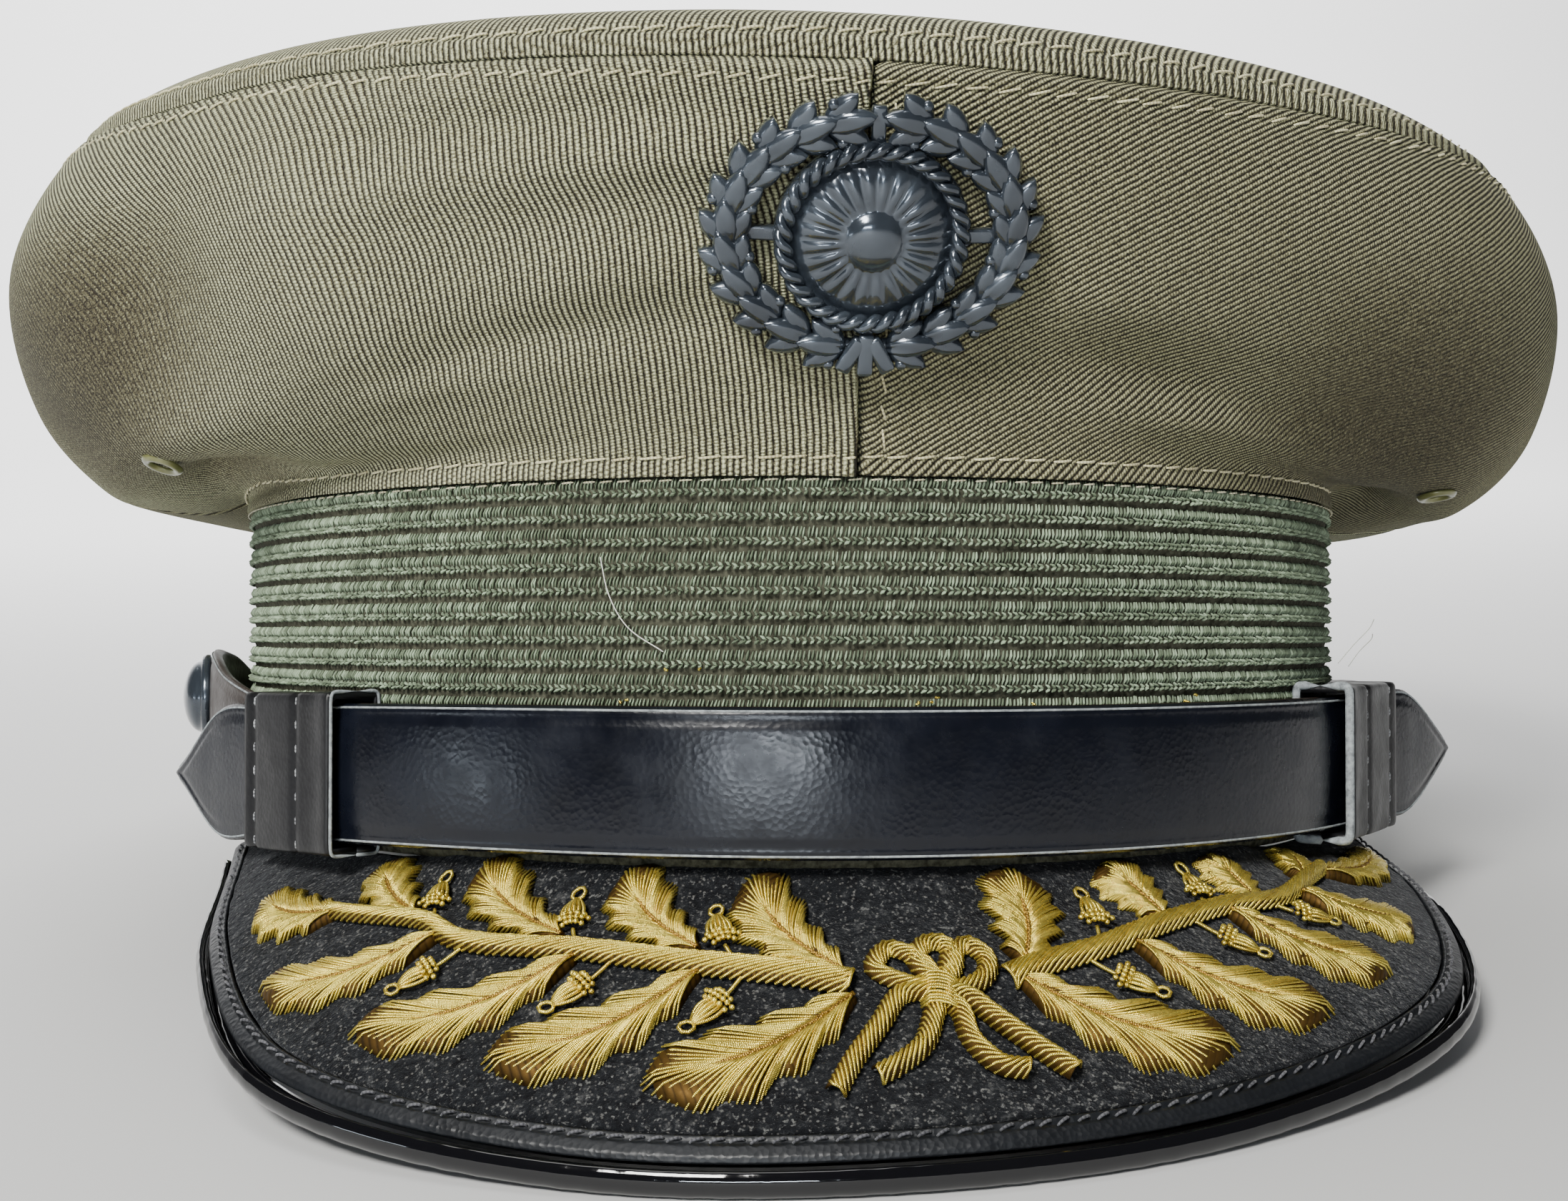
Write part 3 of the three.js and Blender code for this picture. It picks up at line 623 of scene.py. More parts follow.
def painted_shade_spots(f, shade_spots):
    """Painted shade over the crown's hollows and creases: how far the cords are flattened there, 0 to 1, and
    how far the colour is darkened.
    """
    x, y, _ = f.parts()
    nap, painted_shade = 0.0, 0.0
    for at_x, at_y, spread_x, spread_y, shade in shade_spots:
        off_x = f.math("POWER", f.math("DIVIDE", f.math("SUBTRACT", x, at_x), spread_x), 2.0)
        off_y = f.math("POWER", f.math("DIVIDE", f.math("SUBTRACT", y, at_y), spread_y), 2.0)
        spot = f.ramp(f.math("ADD", off_x, off_y), [(0.05, 1.0), (1.0, 0.0)])
        nap = f.math("MAXIMUM", nap, spot)
        painted_shade = f.math("ADD", painted_shade, f.math("MULTIPLY", spot, shade))
    return nap, painted_shade


def twill(name, angle, pitch, rung, light, middle, dark, shade_spots=()):
    """Wool twill: round cords at an angle to the piece's own height, crossed by fine rungs."""
    f = Finish(name, rough=0.85, level=0.2, sheen=0.10, sheen_rough=0.45, sheen_tint=(0.75, 0.78, 0.62, 1))
    across, along = f.turned(angle)
    wobble = f.math("MULTIPLY", f.math("SUBTRACT", f.noise(160.0), 0.5), 1.3)
    cord = f.wave(across, pitch, wobble)
    half_row = f.math("MULTIPLY", f.math("FLOOR", f.math("DIVIDE", across, pitch)), 1.9)
    rungs = f.wave(along, rung, half_row)
    clean = f.math("MULTIPLY", cord, f.math("MULTIPLY_ADD", rungs, 0.38, 0.62))
    # Painted shade: in the spots the cords are flattened towards a middle tone and the colour is darkened,
    # standing for the shade of the crown's hollows and creases
    nap, painted_shade = painted_shade_spots(f, shade_spots)
    thread = f.total((clean, 1), (f.math("MULTIPLY", f.math("SUBTRACT", 0.40, clean), nap), 0.8))
    speckle = f.total((f.noise(2600.0), 0.55), (f.noise(5200.0, 2.0, 0.6), 0.45))
    lit = f.total((thread, 1), (f.math("SUBTRACT", speckle, 0.5), 1.5), (painted_shade, -1))
    body = f.ramp(lit, [(0.16, dark), (0.46, middle), (0.98, light)])
    worn = f.ramp(f.noise(38.0, 3.0), [(0.35, 0.0), (0.7, 0.35)])
    f.bump(f.total((thread, 1), (speckle, 0.6)), 0.55)
    return f.shape(color=f.mix(0.5, body, f.mix(worn, body, (0.30, 0.27, 0.20), "MULTIPLY")))


def thread_finish(name, light, dark):
    f = Finish(name, rough=0.6, level=0.35, sheen=0.2)
    along, _, _ = f.parts()
    ply = f.wave(along, 0.45)
    f.bump(ply, 0.06, 0.6)
    tone = f.total((ply, 0.6), (f.shade_of_strand(), 0.4))
    return f.shape(color=f.ramp(tone, [(0.1, dark), (0.9, light)]))


def braid_finish():
    f = Finish("braid_yarn", rough=0.6, level=0.4, sheen=0.3, sheen_rough=0.35,
               sheen_tint=(0.75, 0.9, 0.72, 1))
    drawn_out = f.node("ShaderNodeMapping", {"Vector": f.place("UV"), "Scale": (1.0, 4.0, 1.0)}).outputs[0]
    fibre = f.noise(1.0, 3.0, 0.6, where=drawn_out)
    f.bump(fibre, 0.12, 0.8)
    tone = f.total((fibre, 0.55), (f.shade_of_strand(), 0.22), (f.noise(120.0, 3.0, 0.6), 0.22))
    tones = [(0.24, (0.028, 0.033, 0.019)), (0.45, (0.165, 0.215, 0.130)), (0.70, (0.60, 0.76, 0.52))]
    return f.shape(color=f.ramp(tone, tones))


def ground_finish(name, dark, light):
    f = Finish(name, rough=0.95, level=0.1)
    grain = f.noise(1100.0, 3.0, 0.6)
    f.bump(grain, 0.25, 0.8)
    return f.shape(color=f.ramp(grain, [(0.35, dark), (0.65, light)]))


def felt():
    """Black napped felt, with pale flecks of lint and thin spots."""
    f = Finish("black_felt", rough=0.95, level=0.12, sheen=0.16, sheen_rough=0.4,
               sheen_tint=(0.6, 0.62, 0.66, 1))
    nap = f.noise(900.0, 4.0, 0.7)
    clump = f.noise(240.0, 3.0, 0.6)
    fleck = f.ramp(f.cells(1300.0), [(0.06, 1.0), (0.26, 0.0)])
    thin = f.ramp(f.noise(1900.0), [(0.60, 0.0), (0.70, 1.0)])
    tones = [(0.38, (0.003, 0.003, 0.004)), (0.55, (0.010, 0.011, 0.013)), (0.72, (0.08, 0.08, 0.08))]
    base = f.ramp(f.total((nap, 0.7), (clump, 0.3)), tones)
    f.bump(f.total((nap, 1), (clump, 0.9)), 0.8)
    flecked = f.mix(f.math("MULTIPLY", fleck, 0.32), base, (0.30, 0.29, 0.27))
    return f.shape(color=f.mix(f.math("MULTIPLY", thin, 0.28), flecked, (0.40, 0.40, 0.38)))


def leather(name, color, rough, grain, crackle=0.0):
    f = Finish(name, level=0.38)
    soft = f.noise(120.0, 4.0, 0.55)
    height = f.total((f.cells(1400.0), 0.6), (soft, 0.8))
    if crackle:
        cracks = f.ramp(f.cells(420.0, feature="DISTANCE_TO_EDGE"), [(0.0, 0.0), (0.09, 1.0)])
        where = f.ramp(f.noise(55.0), [(0.45, 0.0), (0.62, 1.0)])
        height = f.total((height, 1), (f.math("MULTIPLY", cracks, where), crackle))
    f.bump(height, grain, 0.7)
    low, high = (tuple(c * share for c in color) for share in (0.75, 1.35))
    rub = f.total((soft, 0.5), (f.noise(300.0, 4.0, 0.6), 0.5))
    return f.shape(color=f.ramp(soft, [(0.3, low), (0.7, high)]),
                   rough=f.ramp(rub, [(0.35, rough - 0.07), (0.65, rough + 0.10)]))


def patent():
    f = Finish("patent_leather", color=(0.003, 0.003, 0.004, 1), rough=0.07, level=0.5, coat=0.3,
               coat_rough=0.03)
    f.bump(f.total((f.noise(140.0, 3.0), 1), (f.noise(700.0), 0.25)), 0.22, 0.35)
    return f.material


def bullion(name, light, dark, coil, rough):
    """Gold wire wound in a fine coil: bright on each turn, brown between."""
    f = Finish(name, metal=0.85, level=0.5)
    along, turn, _ = f.parts()
    turns = f.wave(f.total((along, 1), (turn, 0.03)), coil)
    dirt = f.noise(900.0, 3.0, 0.6)
    f.bump(turns, 0.045, 0.8)
    tone = f.total((turns, 0.55), (f.shade_of_strand(), 0.40), (dirt, 0.25))
    middle = tuple((a + b) / 2 for a, b in zip(light, dark))
    return f.shape(color=f.ramp(tone, [(0.15, dark), (0.45, middle), (0.75, light)]),
                   rough=f.ramp(dirt, [(0.3, rough - 0.06), (0.7, rough + 0.16)]))


def cast_metal():
    f = Finish("cast_metal", level=0.8, metal=0.6, coat=0.7, coat_rough=0.09)
    cloud = f.noise(90.0, 4.0, 0.55)
    f.bump(f.total((f.noise(500.0, 3.0), 1), (cloud, 0.5)), 0.08, 0.5)
    return f.shape(color=f.ramp(cloud, [(0.3, (0.022, 0.029, 0.040)), (0.7, (0.085, 0.105, 0.130))]),
                   rough=f.ramp(f.noise(260.0, 3.0), [(0.35, 0.16), (0.65, 0.30)]))


def enamel():
    f = Finish("eyelet_enamel", level=0.5, coat=0.5, coat_rough=0.12, rough=0.3, metal=0.2)
    f.bump(f.noise(400.0, 3.0), 0.08, 0.5)
    tones = [(0.3, (0.12, 0.125, 0.04)), (0.7, (0.24, 0.24, 0.10))]
    return f.shape(color=f.ramp(f.noise(300.0, 3.0), tones))


def raw_edge():
    f = Finish("cut_leather", rough=0.85, level=0.25)
    fibre = f.noise(900.0, 4.0, 0.7)
    f.bump(fibre, 0.2, 0.8)
    return f.shape(color=f.ramp(fibre, [(0.3, (0.13, 0.14, 0.15)), (0.7, (0.42, 0.46, 0.47))]))


# Painted shade over the crown's hollows and creases, in millimetres of the piece's chart: the cords are
# flattened there and the colour is darkened by the shade column
LEFT_PAINTED_SHADE = [
    # x, y, spread_x, spread_y, shade
    (-114, 38, 38, 27, 0.20),
    (-105, 8, 26, 12, 0.04),
]
# Painted shade along the crease of the right quarter where its shadow begins
RIGHT_PAINTED_SHADE = [(95, 14, 42, 28, 0.08)]
LEFT_TWILL = twill("twill_left", -1, 0.82, 0.42, (0.72, 0.74, 0.46), (0.165, 0.15, 0.085),
                   (0.018, 0.012, 0.008), LEFT_PAINTED_SHADE)
# The same wool as twill_left in darker tones: painted shade of the front right quarter, which faces away from
# the key light; the back left quarter shares it
RIGHT_TWILL = twill("twill_right", 58, 0.68, 0.40, (0.58, 0.57, 0.33), (0.115, 0.10, 0.055),
                    (0.012, 0.009, 0.006), RIGHT_PAINTED_SHADE)
TOP_TWILL = twill("twill_top", 28, 0.75, 0.42, (0.70, 0.71, 0.45), (0.17, 0.155, 0.09), (0.018, 0.013, 0.008))
SEAM_THREAD = thread_finish("seam_thread", (0.72, 0.68, 0.42), (0.32, 0.27, 0.14))
SELVEDGE_THREAD = thread_finish("selvedge_thread", (0.60, 0.58, 0.40), (0.20, 0.18, 0.10))
BRAID_YARN = braid_finish()
BRAID_GROUND = ground_finish("braid_ground", (0.024, 0.024, 0.016), (0.085, 0.085, 0.060))
FELT = felt()
STRAP_LEATHER = leather("strap_leather", (0.004, 0.005, 0.009), 0.24, 0.05, crackle=0.12)
KEEPER_LEATHER = leather("keeper_leather", (0.004, 0.004, 0.005), 0.44, 0.08)
FLANGE_LEATHER = leather("flange_leather", (0.007, 0.008, 0.010), 0.42, 0.2)
BROWN_LEATHER = leather("brown_leather", (0.022, 0.014, 0.010), 0.42, 0.10)
CUT_LEATHER = raw_edge()
STRAY_THREAD = thread_finish("stray_thread", (0.85, 0.85, 0.78), (0.55, 0.55, 0.48))
KEEPER_THREAD = thread_finish("keeper_thread", (0.30, 0.31, 0.32), (0.05, 0.05, 0.055))
PATENT = patent()
GOLD = bullion("gold_bullion", (1.0, 0.82, 0.16), (0.40, 0.21, 0.02), coil=0.2, rough=0.22)
GOLD_VEIN = bullion("gold_vein", (0.42, 0.25, 0.05), (0.07, 0.035, 0.008), coil=0.3, rough=0.34)
# The padding is a real core, but its near-black brown is painted shade, standing for the shadow in the gaps
# between the gold strands
PADDING_PAINTED_SHADE = bullion("padding_painted_shade", (0.10, 0.055, 0.012), (0.025, 0.014, 0.005), coil=0.5, rough=0.6)
CAST = cast_metal()
ENAMEL = enamel()
DARK_THREAD = thread_finish("dark_thread", (0.10, 0.10, 0.11), (0.02, 0.02, 0.025))


def arc_chart(place, columns, rows):
    """Turns a surface of u and v into millimetres run along it from u = 0 and up it from v = 0."""
    us, vs = np.linspace(0, 1, columns), np.linspace(0, 1, rows)
    u, v = np.meshgrid(us, vs, indexing="ij")
    places = place(u, v)
    run_u, run_v = lengths_along(places, axis=0), lengths_along(places, axis=1)

    def chart(u, v):
        i = np.clip(u * (columns - 1), 0, columns - 1 - EDGE_SLACK)
        j = np.clip(v * (rows - 1), 0, rows - 1 - EDGE_SLACK)
        i0, j0 = i.astype(int), j.astype(int)
        fi, fj = i - i0, j - j0

        def between(run):
            low = run[i0, j0] * (1 - fi) + run[i0 + 1, j0] * fi
            high = run[i0, j0 + 1] * (1 - fi) + run[i0 + 1, j0 + 1] * fi
            return low * (1 - fj) + high * fj
        return np.stack([between(run_u), between(run_v)], axis=-1)
    return chart


# Crown
LAST_LEVEL = len(CROWN_LEVELS) - 1
CROWN_MIDDLE = (0, 0, 55)
ROUND_PLACES = 1441
SEAM_HALF_TURN = 0.11
SEAM_HALF_LEVEL = 0.016
SIDE_SEAM_REACH = 105.0
SEAM_STITCH_AWAY = 3.1
SEAM_STITCH_PITCH = 3.6
FRONT_STITCH_AWAY = 3.2
HEM_STITCH_RISE = 1.7
HEM_DROP = 0.6
HEM_WIDTH = 0.9
HEM_WAVE = 0.15
HEM_WAVES = 61
PUCKER = 0.10
PUCKER_AWAY = 1.6
PUCKER_WIDTH = 2.2
# Grooves (minus) and ridges (plus) beside the seams, in millimetres across them
UNDER_TOP_SEAM = [
    # lift, place, width
    (-1.1, 0.0, 1.3),
    (0.35, -1.9, 0.9),
    (-0.3, -SEAM_STITCH_AWAY, 0.5),
]
OVER_TOP_SEAM = [
    (-0.9, 0.0, 1.2),
    (0.3, 1.8, 0.9),
    (-0.25, SEAM_STITCH_AWAY, 0.5),
]
LEFT_OF_FRONT_SEAM = [
    (0.75, 0.0, 1.6),
    (0.1, -3.0, 2.0),
]
RIGHT_OF_FRONT_SEAM = [
    (-1.0, 0.0, 1.0),
    (-0.25, FRONT_STITCH_AWAY, 0.5),
    (0.25, 2.0, 0.8),
]
SIDE_SEAM = [(-0.8, 0.0, 1.0)]
HEM_STITCHES = [(-0.25, HEM_STITCH_RISE, 0.45)]


def seam_level(around, away):
    """The level that lies so many mm above (plus) or below (minus) the top seam along the cloth."""
    levels = np.linspace(5.0, 9.0, 161)
    around = np.atleast_1d(np.asarray(around, float))
    run = crown_base(around[:, None], levels[None])
    length = lengths_along(run, axis=1)
    middle = np.array([np.interp(TOP_SEAM, levels, row) for row in length])
    return np.array([np.interp(m + away, row, levels) for m, row in zip(middle, length)])


def distance_to_seam(around, level):
    """Millimetres along the cloth to the top seam, plus above it."""
    lower, upper = crown_base(around, level), crown_base(around, np.full(np.shape(level), TOP_SEAM))
    return np.linalg.norm(lower - upper, axis=-1) * np.sign(np.asarray(level) - TOP_SEAM)


def distance_to_front(around, level):
    half_width = smooth(CROWN_LEVELS, level, 0, by_row=True)
    return np.radians(around - CROWN_TURN) * half_width


def rise_from_hem(around, level):
    """Straight millimetres from the hem to a level, on the cloth without its dents."""
    return np.linalg.norm(crown_base(around, level) - crown_base(around, np.zeros(np.shape(level))), axis=-1)


def puckers(around, count, slow_count):
    """Small uneven waves along a seam, where its stitches draw the cloth."""
    return PUCKER * np.sin(np.radians(around) * count + 2 * np.sin(np.radians(around) * slow_count))


def quarter_relief(around, level):
    """How the cloth rises and sinks along its seams and rows of stitches."""
    to_top = distance_to_seam(around, level)
    to_front = distance_to_front(around, level)
    rise = rise_from_hem(around, level)
    lift = relief(to_top, UNDER_TOP_SEAM) + relief(rise, HEM_STITCHES)
    lift = lift + HEM_WAVE * np.sin(np.radians(around) * HEM_WAVES) * hump(rise, 3)
    lift = lift + np.where(to_front < 0, relief(to_front, LEFT_OF_FRONT_SEAM),
                           relief(to_front, RIGHT_OF_FRONT_SEAM))
    for seam in (-90.0, 90.0, 180.0 + CROWN_TURN):
        lift = lift + relief(np.radians(turn_from(around, seam)) * SIDE_SEAM_REACH, SIDE_SEAM)
    return lift + puckers(around, 215, 17) * hump(to_top + PUCKER_AWAY, PUCKER_WIDTH)


# Wiggles of the threads of the left front, in millimetres of its chart
GRAIN_PULLS = [
    # x from the front seam, y from the hem, spread_x, spread_y, pull
    (-30, 38, 45, 4.0, 0.7),
    (-28, 22, 45, 4.0, 0.7),
    (-60, 44, 30, 5.0, 0.6),
]
FAN_RADIUS = 1300.0
LEAN_GROWTH = 0.0032
SIDE_LEAN = 0.005
SIDE_START = 60.0


def drawn_grain(name, run):
    """Bends the chart's threads the way the cut and shaped cloth draws them."""
    x = run[:, 0]
    y = run[:, 1]
    drawn = run.copy()
    if name == "crown_quarter_front_right":
        drawn[:, 1] -= x ** 2 / (2 * FAN_RADIUS)
    if name == "crown_quarter_front_left":
        drawn[:, 0] += LEAN_GROWTH * y ** 2 + SIDE_LEAN * np.maximum(0, -x - SIDE_START) * y
        for at_x, at_y, spread_x, spread_y, pull in GRAIN_PULLS:
            drawn[:, 0] += pull * hump(x - at_x, spread_x) * hump(y - at_y, spread_y)
    return drawn


def crown_quarter(name, start, end, finish, columns, rows):
    top = TOP_SEAM - SEAM_HALF_LEVEL
    ends_in_front = abs(start - CROWN_TURN) > abs(end - CROWN_TURN)

    def place(u, v):
        around, level = start + (end - start) * u, v * top
        places = crown_surface(around, level, quarter_relief(around, level))
        places[..., 2] -= HEM_DROP * hump(rise_from_hem(around, level), HEM_WIDTH)
        return places

    def plain(u, v):
        return crown_base(start + (end - start) * u, v * top)
    chart = arc_chart(plain, 61, 41)

    def chart_from_seam(u, v):
        run = chart(u, v)
        if ends_in_front:
            run[:, 0] -= chart(np.ones_like(u), v)[:, 0]
        return drawn_grain(name, run)
    mesh = grid_mesh(name, columns, rows, place, chart_from_seam, outside=CROWN_MIDDLE)
    add_wall(piece(name + "_cloth", mesh, finish, name), CLOTH_WALL)


def quarters():
    seams = [-90.0, CROWN_TURN, 90.0, 180 + CROWN_TURN, 270.0]
    rows = [
        # name, finish, columns, rows
        ("crown_quarter_front_left", LEFT_TWILL, 150, 96),
        ("crown_quarter_front_right", RIGHT_TWILL, 150, 96),
        ("crown_quarter_back_right", LEFT_TWILL, 90, 70),
        ("crown_quarter_back_left", RIGHT_TWILL, 90, 70),
    ]
    for (name, finish, columns, levels), start, end in zip(rows, seams, seams[1:]):
        crown_quarter(name, start + SEAM_HALF_TURN, end - SEAM_HALF_TURN, finish, columns, levels)


def crown_top():
    first = TOP_SEAM + SEAM_HALF_LEVEL

    def place(u, v):
        around = 360 * u
        level = first + (LAST_LEVEL - first) * v**1.6
        away = distance_to_seam(around, level)
        lift = relief(away, OVER_TOP_SEAM) + puckers(around, 208, 13) * hump(away - PUCKER_AWAY, PUCKER_WIDTH)
        fade = np.clip((LAST_LEVEL - level) / 2, 0, 1)
        return crown_surface(around, np.minimum(level, LAST_LEVEL - EDGE_SLACK), lift * fade)

    def chart(u, v):
        reach = place(u, v) - place(u, np.ones_like(v))
        away = np.linalg.norm(reach, axis=-1)
        turn = np.arctan2(reach[:, 1], reach[:, 0])
        return np.stack([away * np.cos(turn), away * np.sin(turn)], axis=-1)
    mesh = grid_mesh("crown_top", 240, 52, place, chart, closed=True, outside=CROWN_MIDDLE)
    add_wall(piece("crown_top_cloth", mesh, TOP_TWILL, "crown_top"), CLOTH_WALL)


# One stitch: places along it, how far each is over the cloth, and its girth there
STITCH_SHARE = np.array([0.0, 0.16, 0.5, 0.84, 1.0])
STITCH_LIFT = np.array([-0.25, 0.7, 1.0, 0.7, -0.25])
STITCH_GIRTH = np.array([0.7, 1.0, 1.05, 1.0, 0.7])


def stitch_row(name, around, level, pitch, length, radius, finish, slot, slant, rise, surface):
    """Stitches along a run of the surface: each dips into the cloth at both ends."""
    base = surface(around, level, 0.0)
    over = unit(surface(around, level, 1.0) - base)
    run = lengths_along(base)
    starts = np.arange(0, run[-1] - length, pitch)
    starts = starts + chance.normal(0, pitch * 0.05, len(starts))
    at = starts[:, None] + STITCH_SHARE * length * (1 + chance.normal(0, 0.06, (len(starts), 1)))
    spot = read_off(at, run, base)
    up = unit(read_off(at, run, over))
    side = np.cross(up, unit(np.gradient(spot, axis=1)))
    lean = slant * (1 + chance.normal(0, 0.25, (len(starts), 1)))
    spot = spot + up * (STITCH_LIFT * rise)[:, None] + side * (lean * (STITCH_SHARE - 0.5))[..., None]
    strands(name, spot, up, STITCH_GIRTH * radius, finish, slot, sides=6)


def on_quarter(around, level, lift):
    return crown_surface(around, level, quarter_relief(around, level) + lift)


def crown_stitches():
    around = np.linspace(-180, 180, ROUND_PLACES)
    under, over = seam_level(around, -SEAM_STITCH_AWAY), seam_level(around, SEAM_STITCH_AWAY)
    low_levels = np.linspace(0, 1.5, 31)
    hem = np.array([np.interp(HEM_STITCH_RISE, rise, low_levels)
                    for rise in rise_from_hem(around[:, None], low_levels[None])])
    level = np.linspace(0.7, TOP_SEAM - 0.5, 300)
    beside_seam = CROWN_TURN + np.degrees(FRONT_STITCH_AWAY / smooth(CROWN_LEVELS, level, 0, by_row=True))
    rows = [
        # name, around, level, length, radius, slant, rise, surface
        ("stitches_under_seam", around, under, 2.7, 0.16, 0.7, 0.3, on_quarter),
        ("stitches_over_seam", around, over, 2.7, 0.16, 0.7, 0.2, crown_surface),
        ("stitches_hem", around, hem, 2.8, 0.17, 0.25, 0.3, on_quarter),
        ("stitches_front_seam", beside_seam, level, 2.7, 0.15, 0.5, 0.25, on_quarter),
    ]
    for name, turns, levels, length, radius, slant, rise, surface in rows:
        stitch_row(name, turns, levels, SEAM_STITCH_PITCH, length, radius, SEAM_THREAD, "crown_cloth",
                   slant, rise, surface)


# Band
BAND_MIDDLE = (0, 0, 24)
RIB_GROOVE = 0.35
GROUND_SUNK = 0.25
STRAP_COVER_TOP = 18.0
STRAP_COVER_TURN = 50.0
FRONT_TURN = 100.0
BRAID_ROWS = [
    # name, height on the rib, pitch, then for each yarn: lean, rise of its half, how deep it lies, radius
    ("chain_over", 1.20, 0.86, 0.27, -0.20, 0.08, 0.25),
    ("chain_under", 0.80, 0.86, 0.27, 0.20, 0.08, 0.25),
    ("tall", 2.12, 0.50, 0.12, 0.62, 0.33, 0.20),
]
YARN_SHARE = np.array([-1.0, 0.0, 1.0])
YARN_LIFT = np.array([-0.30, 0.0, -0.30])
YARN_GIRTH = np.array([0.7, 1.0, 0.7])
YARN_STRAY = 0.05
SELVEDGE_LIFT = 0.1
SELVEDGE_HEIGHT = BAND_HEIGHT - 0.55


def rib_relief(height):
    return -RIB_DEPTH + (RIB_DEPTH - RIB_GROOVE) * np.sqrt(np.abs(np.sin(np.pi * height / RIB_PITCH)))


def band_ground():
    def outer(u, v):
        height = BAND_HEIGHT * v
        return beside(360 * u, rib_relief(height) - GROUND_SUNK, height)

    def chart(u, v):
        return np.stack([u, v], axis=-1)
    mesh = grid_mesh("band_ground", 180, RIB_COUNT * 4, outer, chart, outside=BAND_MIDDLE)
    add_wall(piece("band_ground", mesh, BRAID_GROUND, "band_braid"), BAND_WALL - RIB_DEPTH)


def braid_row(rib, row):
    """One row of yarn round the band, left out where the strap covers it."""
    _, on_rib, pitch, lean, rise, depth, radius = row
    turn = np.linspace(-180, 180, 2 * ROUND_PLACES - 1)
    run = lengths_along(beside(turn, 0.0, 0.0))
    at = np.arange(0, run[-1], pitch)
    around = np.interp((at + chance.normal(0, YARN_STRAY, len(at))) % run[-1], run, turn)
    middle = RIB_PITCH * rib + on_rib
    if middle < STRAP_COVER_TOP:
        around = around[np.abs(around) > STRAP_COVER_TURN]
    girth = radius * (1 + chance.normal(0, 0.08, len(around)))
    per_mm = 1 / np.interp(around, turn, np.gradient(run, turn))
    slant = lean * (1 + chance.normal(0, 0.3, len(around)))
    spin = around[:, None] + YARN_SHARE * (slant * per_mm)[:, None]
    height = middle + YARN_SHARE * rise + chance.normal(0, YARN_STRAY, (len(around), 1))
    lift = YARN_LIFT - depth + chance.normal(0, YARN_STRAY, (len(around), 1))
    return spin, lift, height, girth[:, None] * YARN_GIRTH


def band_braid():
    for row in BRAID_ROWS:
        ribs = [braid_row(rib, row) for rib in range(RIB_COUNT)]
        spin, lift, height, girth = (np.concatenate([rib[k] for rib in ribs]) for k in range(4))
        paths = beside(spin, lift, height)
        normals = unit(beside(spin, lift + 1, height) - paths)
        in_front = np.abs(spin[:, 1]) < FRONT_TURN
        for label, chosen in (("front", in_front), ("back", ~in_front)):
            strands("braid_%s_%s" % (row[0], label), paths[chosen], normals[chosen], girth[chosen],
                    BRAID_YARN, "braid", sides=3)


def selvedge():
    def rim(around, height, lift):
        return beside(around, SELVEDGE_LIFT + lift, height)
    around = np.linspace(-180, 180, ROUND_PLACES)
    stitch_row("stitches_selvedge", around, np.full(ROUND_PLACES, SELVEDGE_HEIGHT), 2.6, 1.6, 0.12,
               SELVEDGE_THREAD, "braid", 0.1, 0.2, rim)


# Peak
BELOW_PEAK = (0, -60, -400)
FLANGE_STITCH_INSET = FLANGE_REACH - 0.9
FLANGE_INNER_INSET = 1.55 * ROLL_RADIUS
ROLL_START = 95
ROLL_SWEEP = 225


def peak_patch(name, columns, rows, end_inset, lift, finish, node, wall):
    """A layer of the peak from its inner edge to an inset from its outer one."""
    def place(u, v):
        around = peak_around(u)
        out = peak_inset(around, end_inset) * v
        return peak_surface(around, out, lift(around, out))
    mesh = grid_mesh(name, columns, rows, place, arc_chart(place, 81, 9), outside=BELOW_PEAK)
    add_wall(piece(name, mesh, finish, node), wall)


def felt_lift(around, out):
    return 0.10 * np.sin(around * 1.9) * np.sin(out * 17)


def under_lift(around, _):
    return np.full(np.shape(around), -PEAK_CLOTH - GAP)


def peak_pieces():
    peak_patch("peak_felt", 240, 60, FLANGE_REACH + GAP, felt_lift, FELT, "peak_cloth",
               PEAK_CLOTH)
    peak_patch("peak_under", 120, 24, 2 * ROLL_RADIUS + GAP, under_lift, PATENT,
               "peak_board", PEAK_BOARD)
    binding()
    around = np.linspace(-PEAK_SPAN + 1, PEAK_SPAN - 1, 1200)

    def on_flange(around, out, lift):
        return peak_surface(around, out, FLANGE_TOP + 0.05 + lift)
    stitch_row("stitches_flange", around, peak_inset(around, FLANGE_STITCH_INSET), 2.2, 1.5, 0.17,
               DARK_THREAD, "patent_leather", 0.5, 0.3, on_flange)


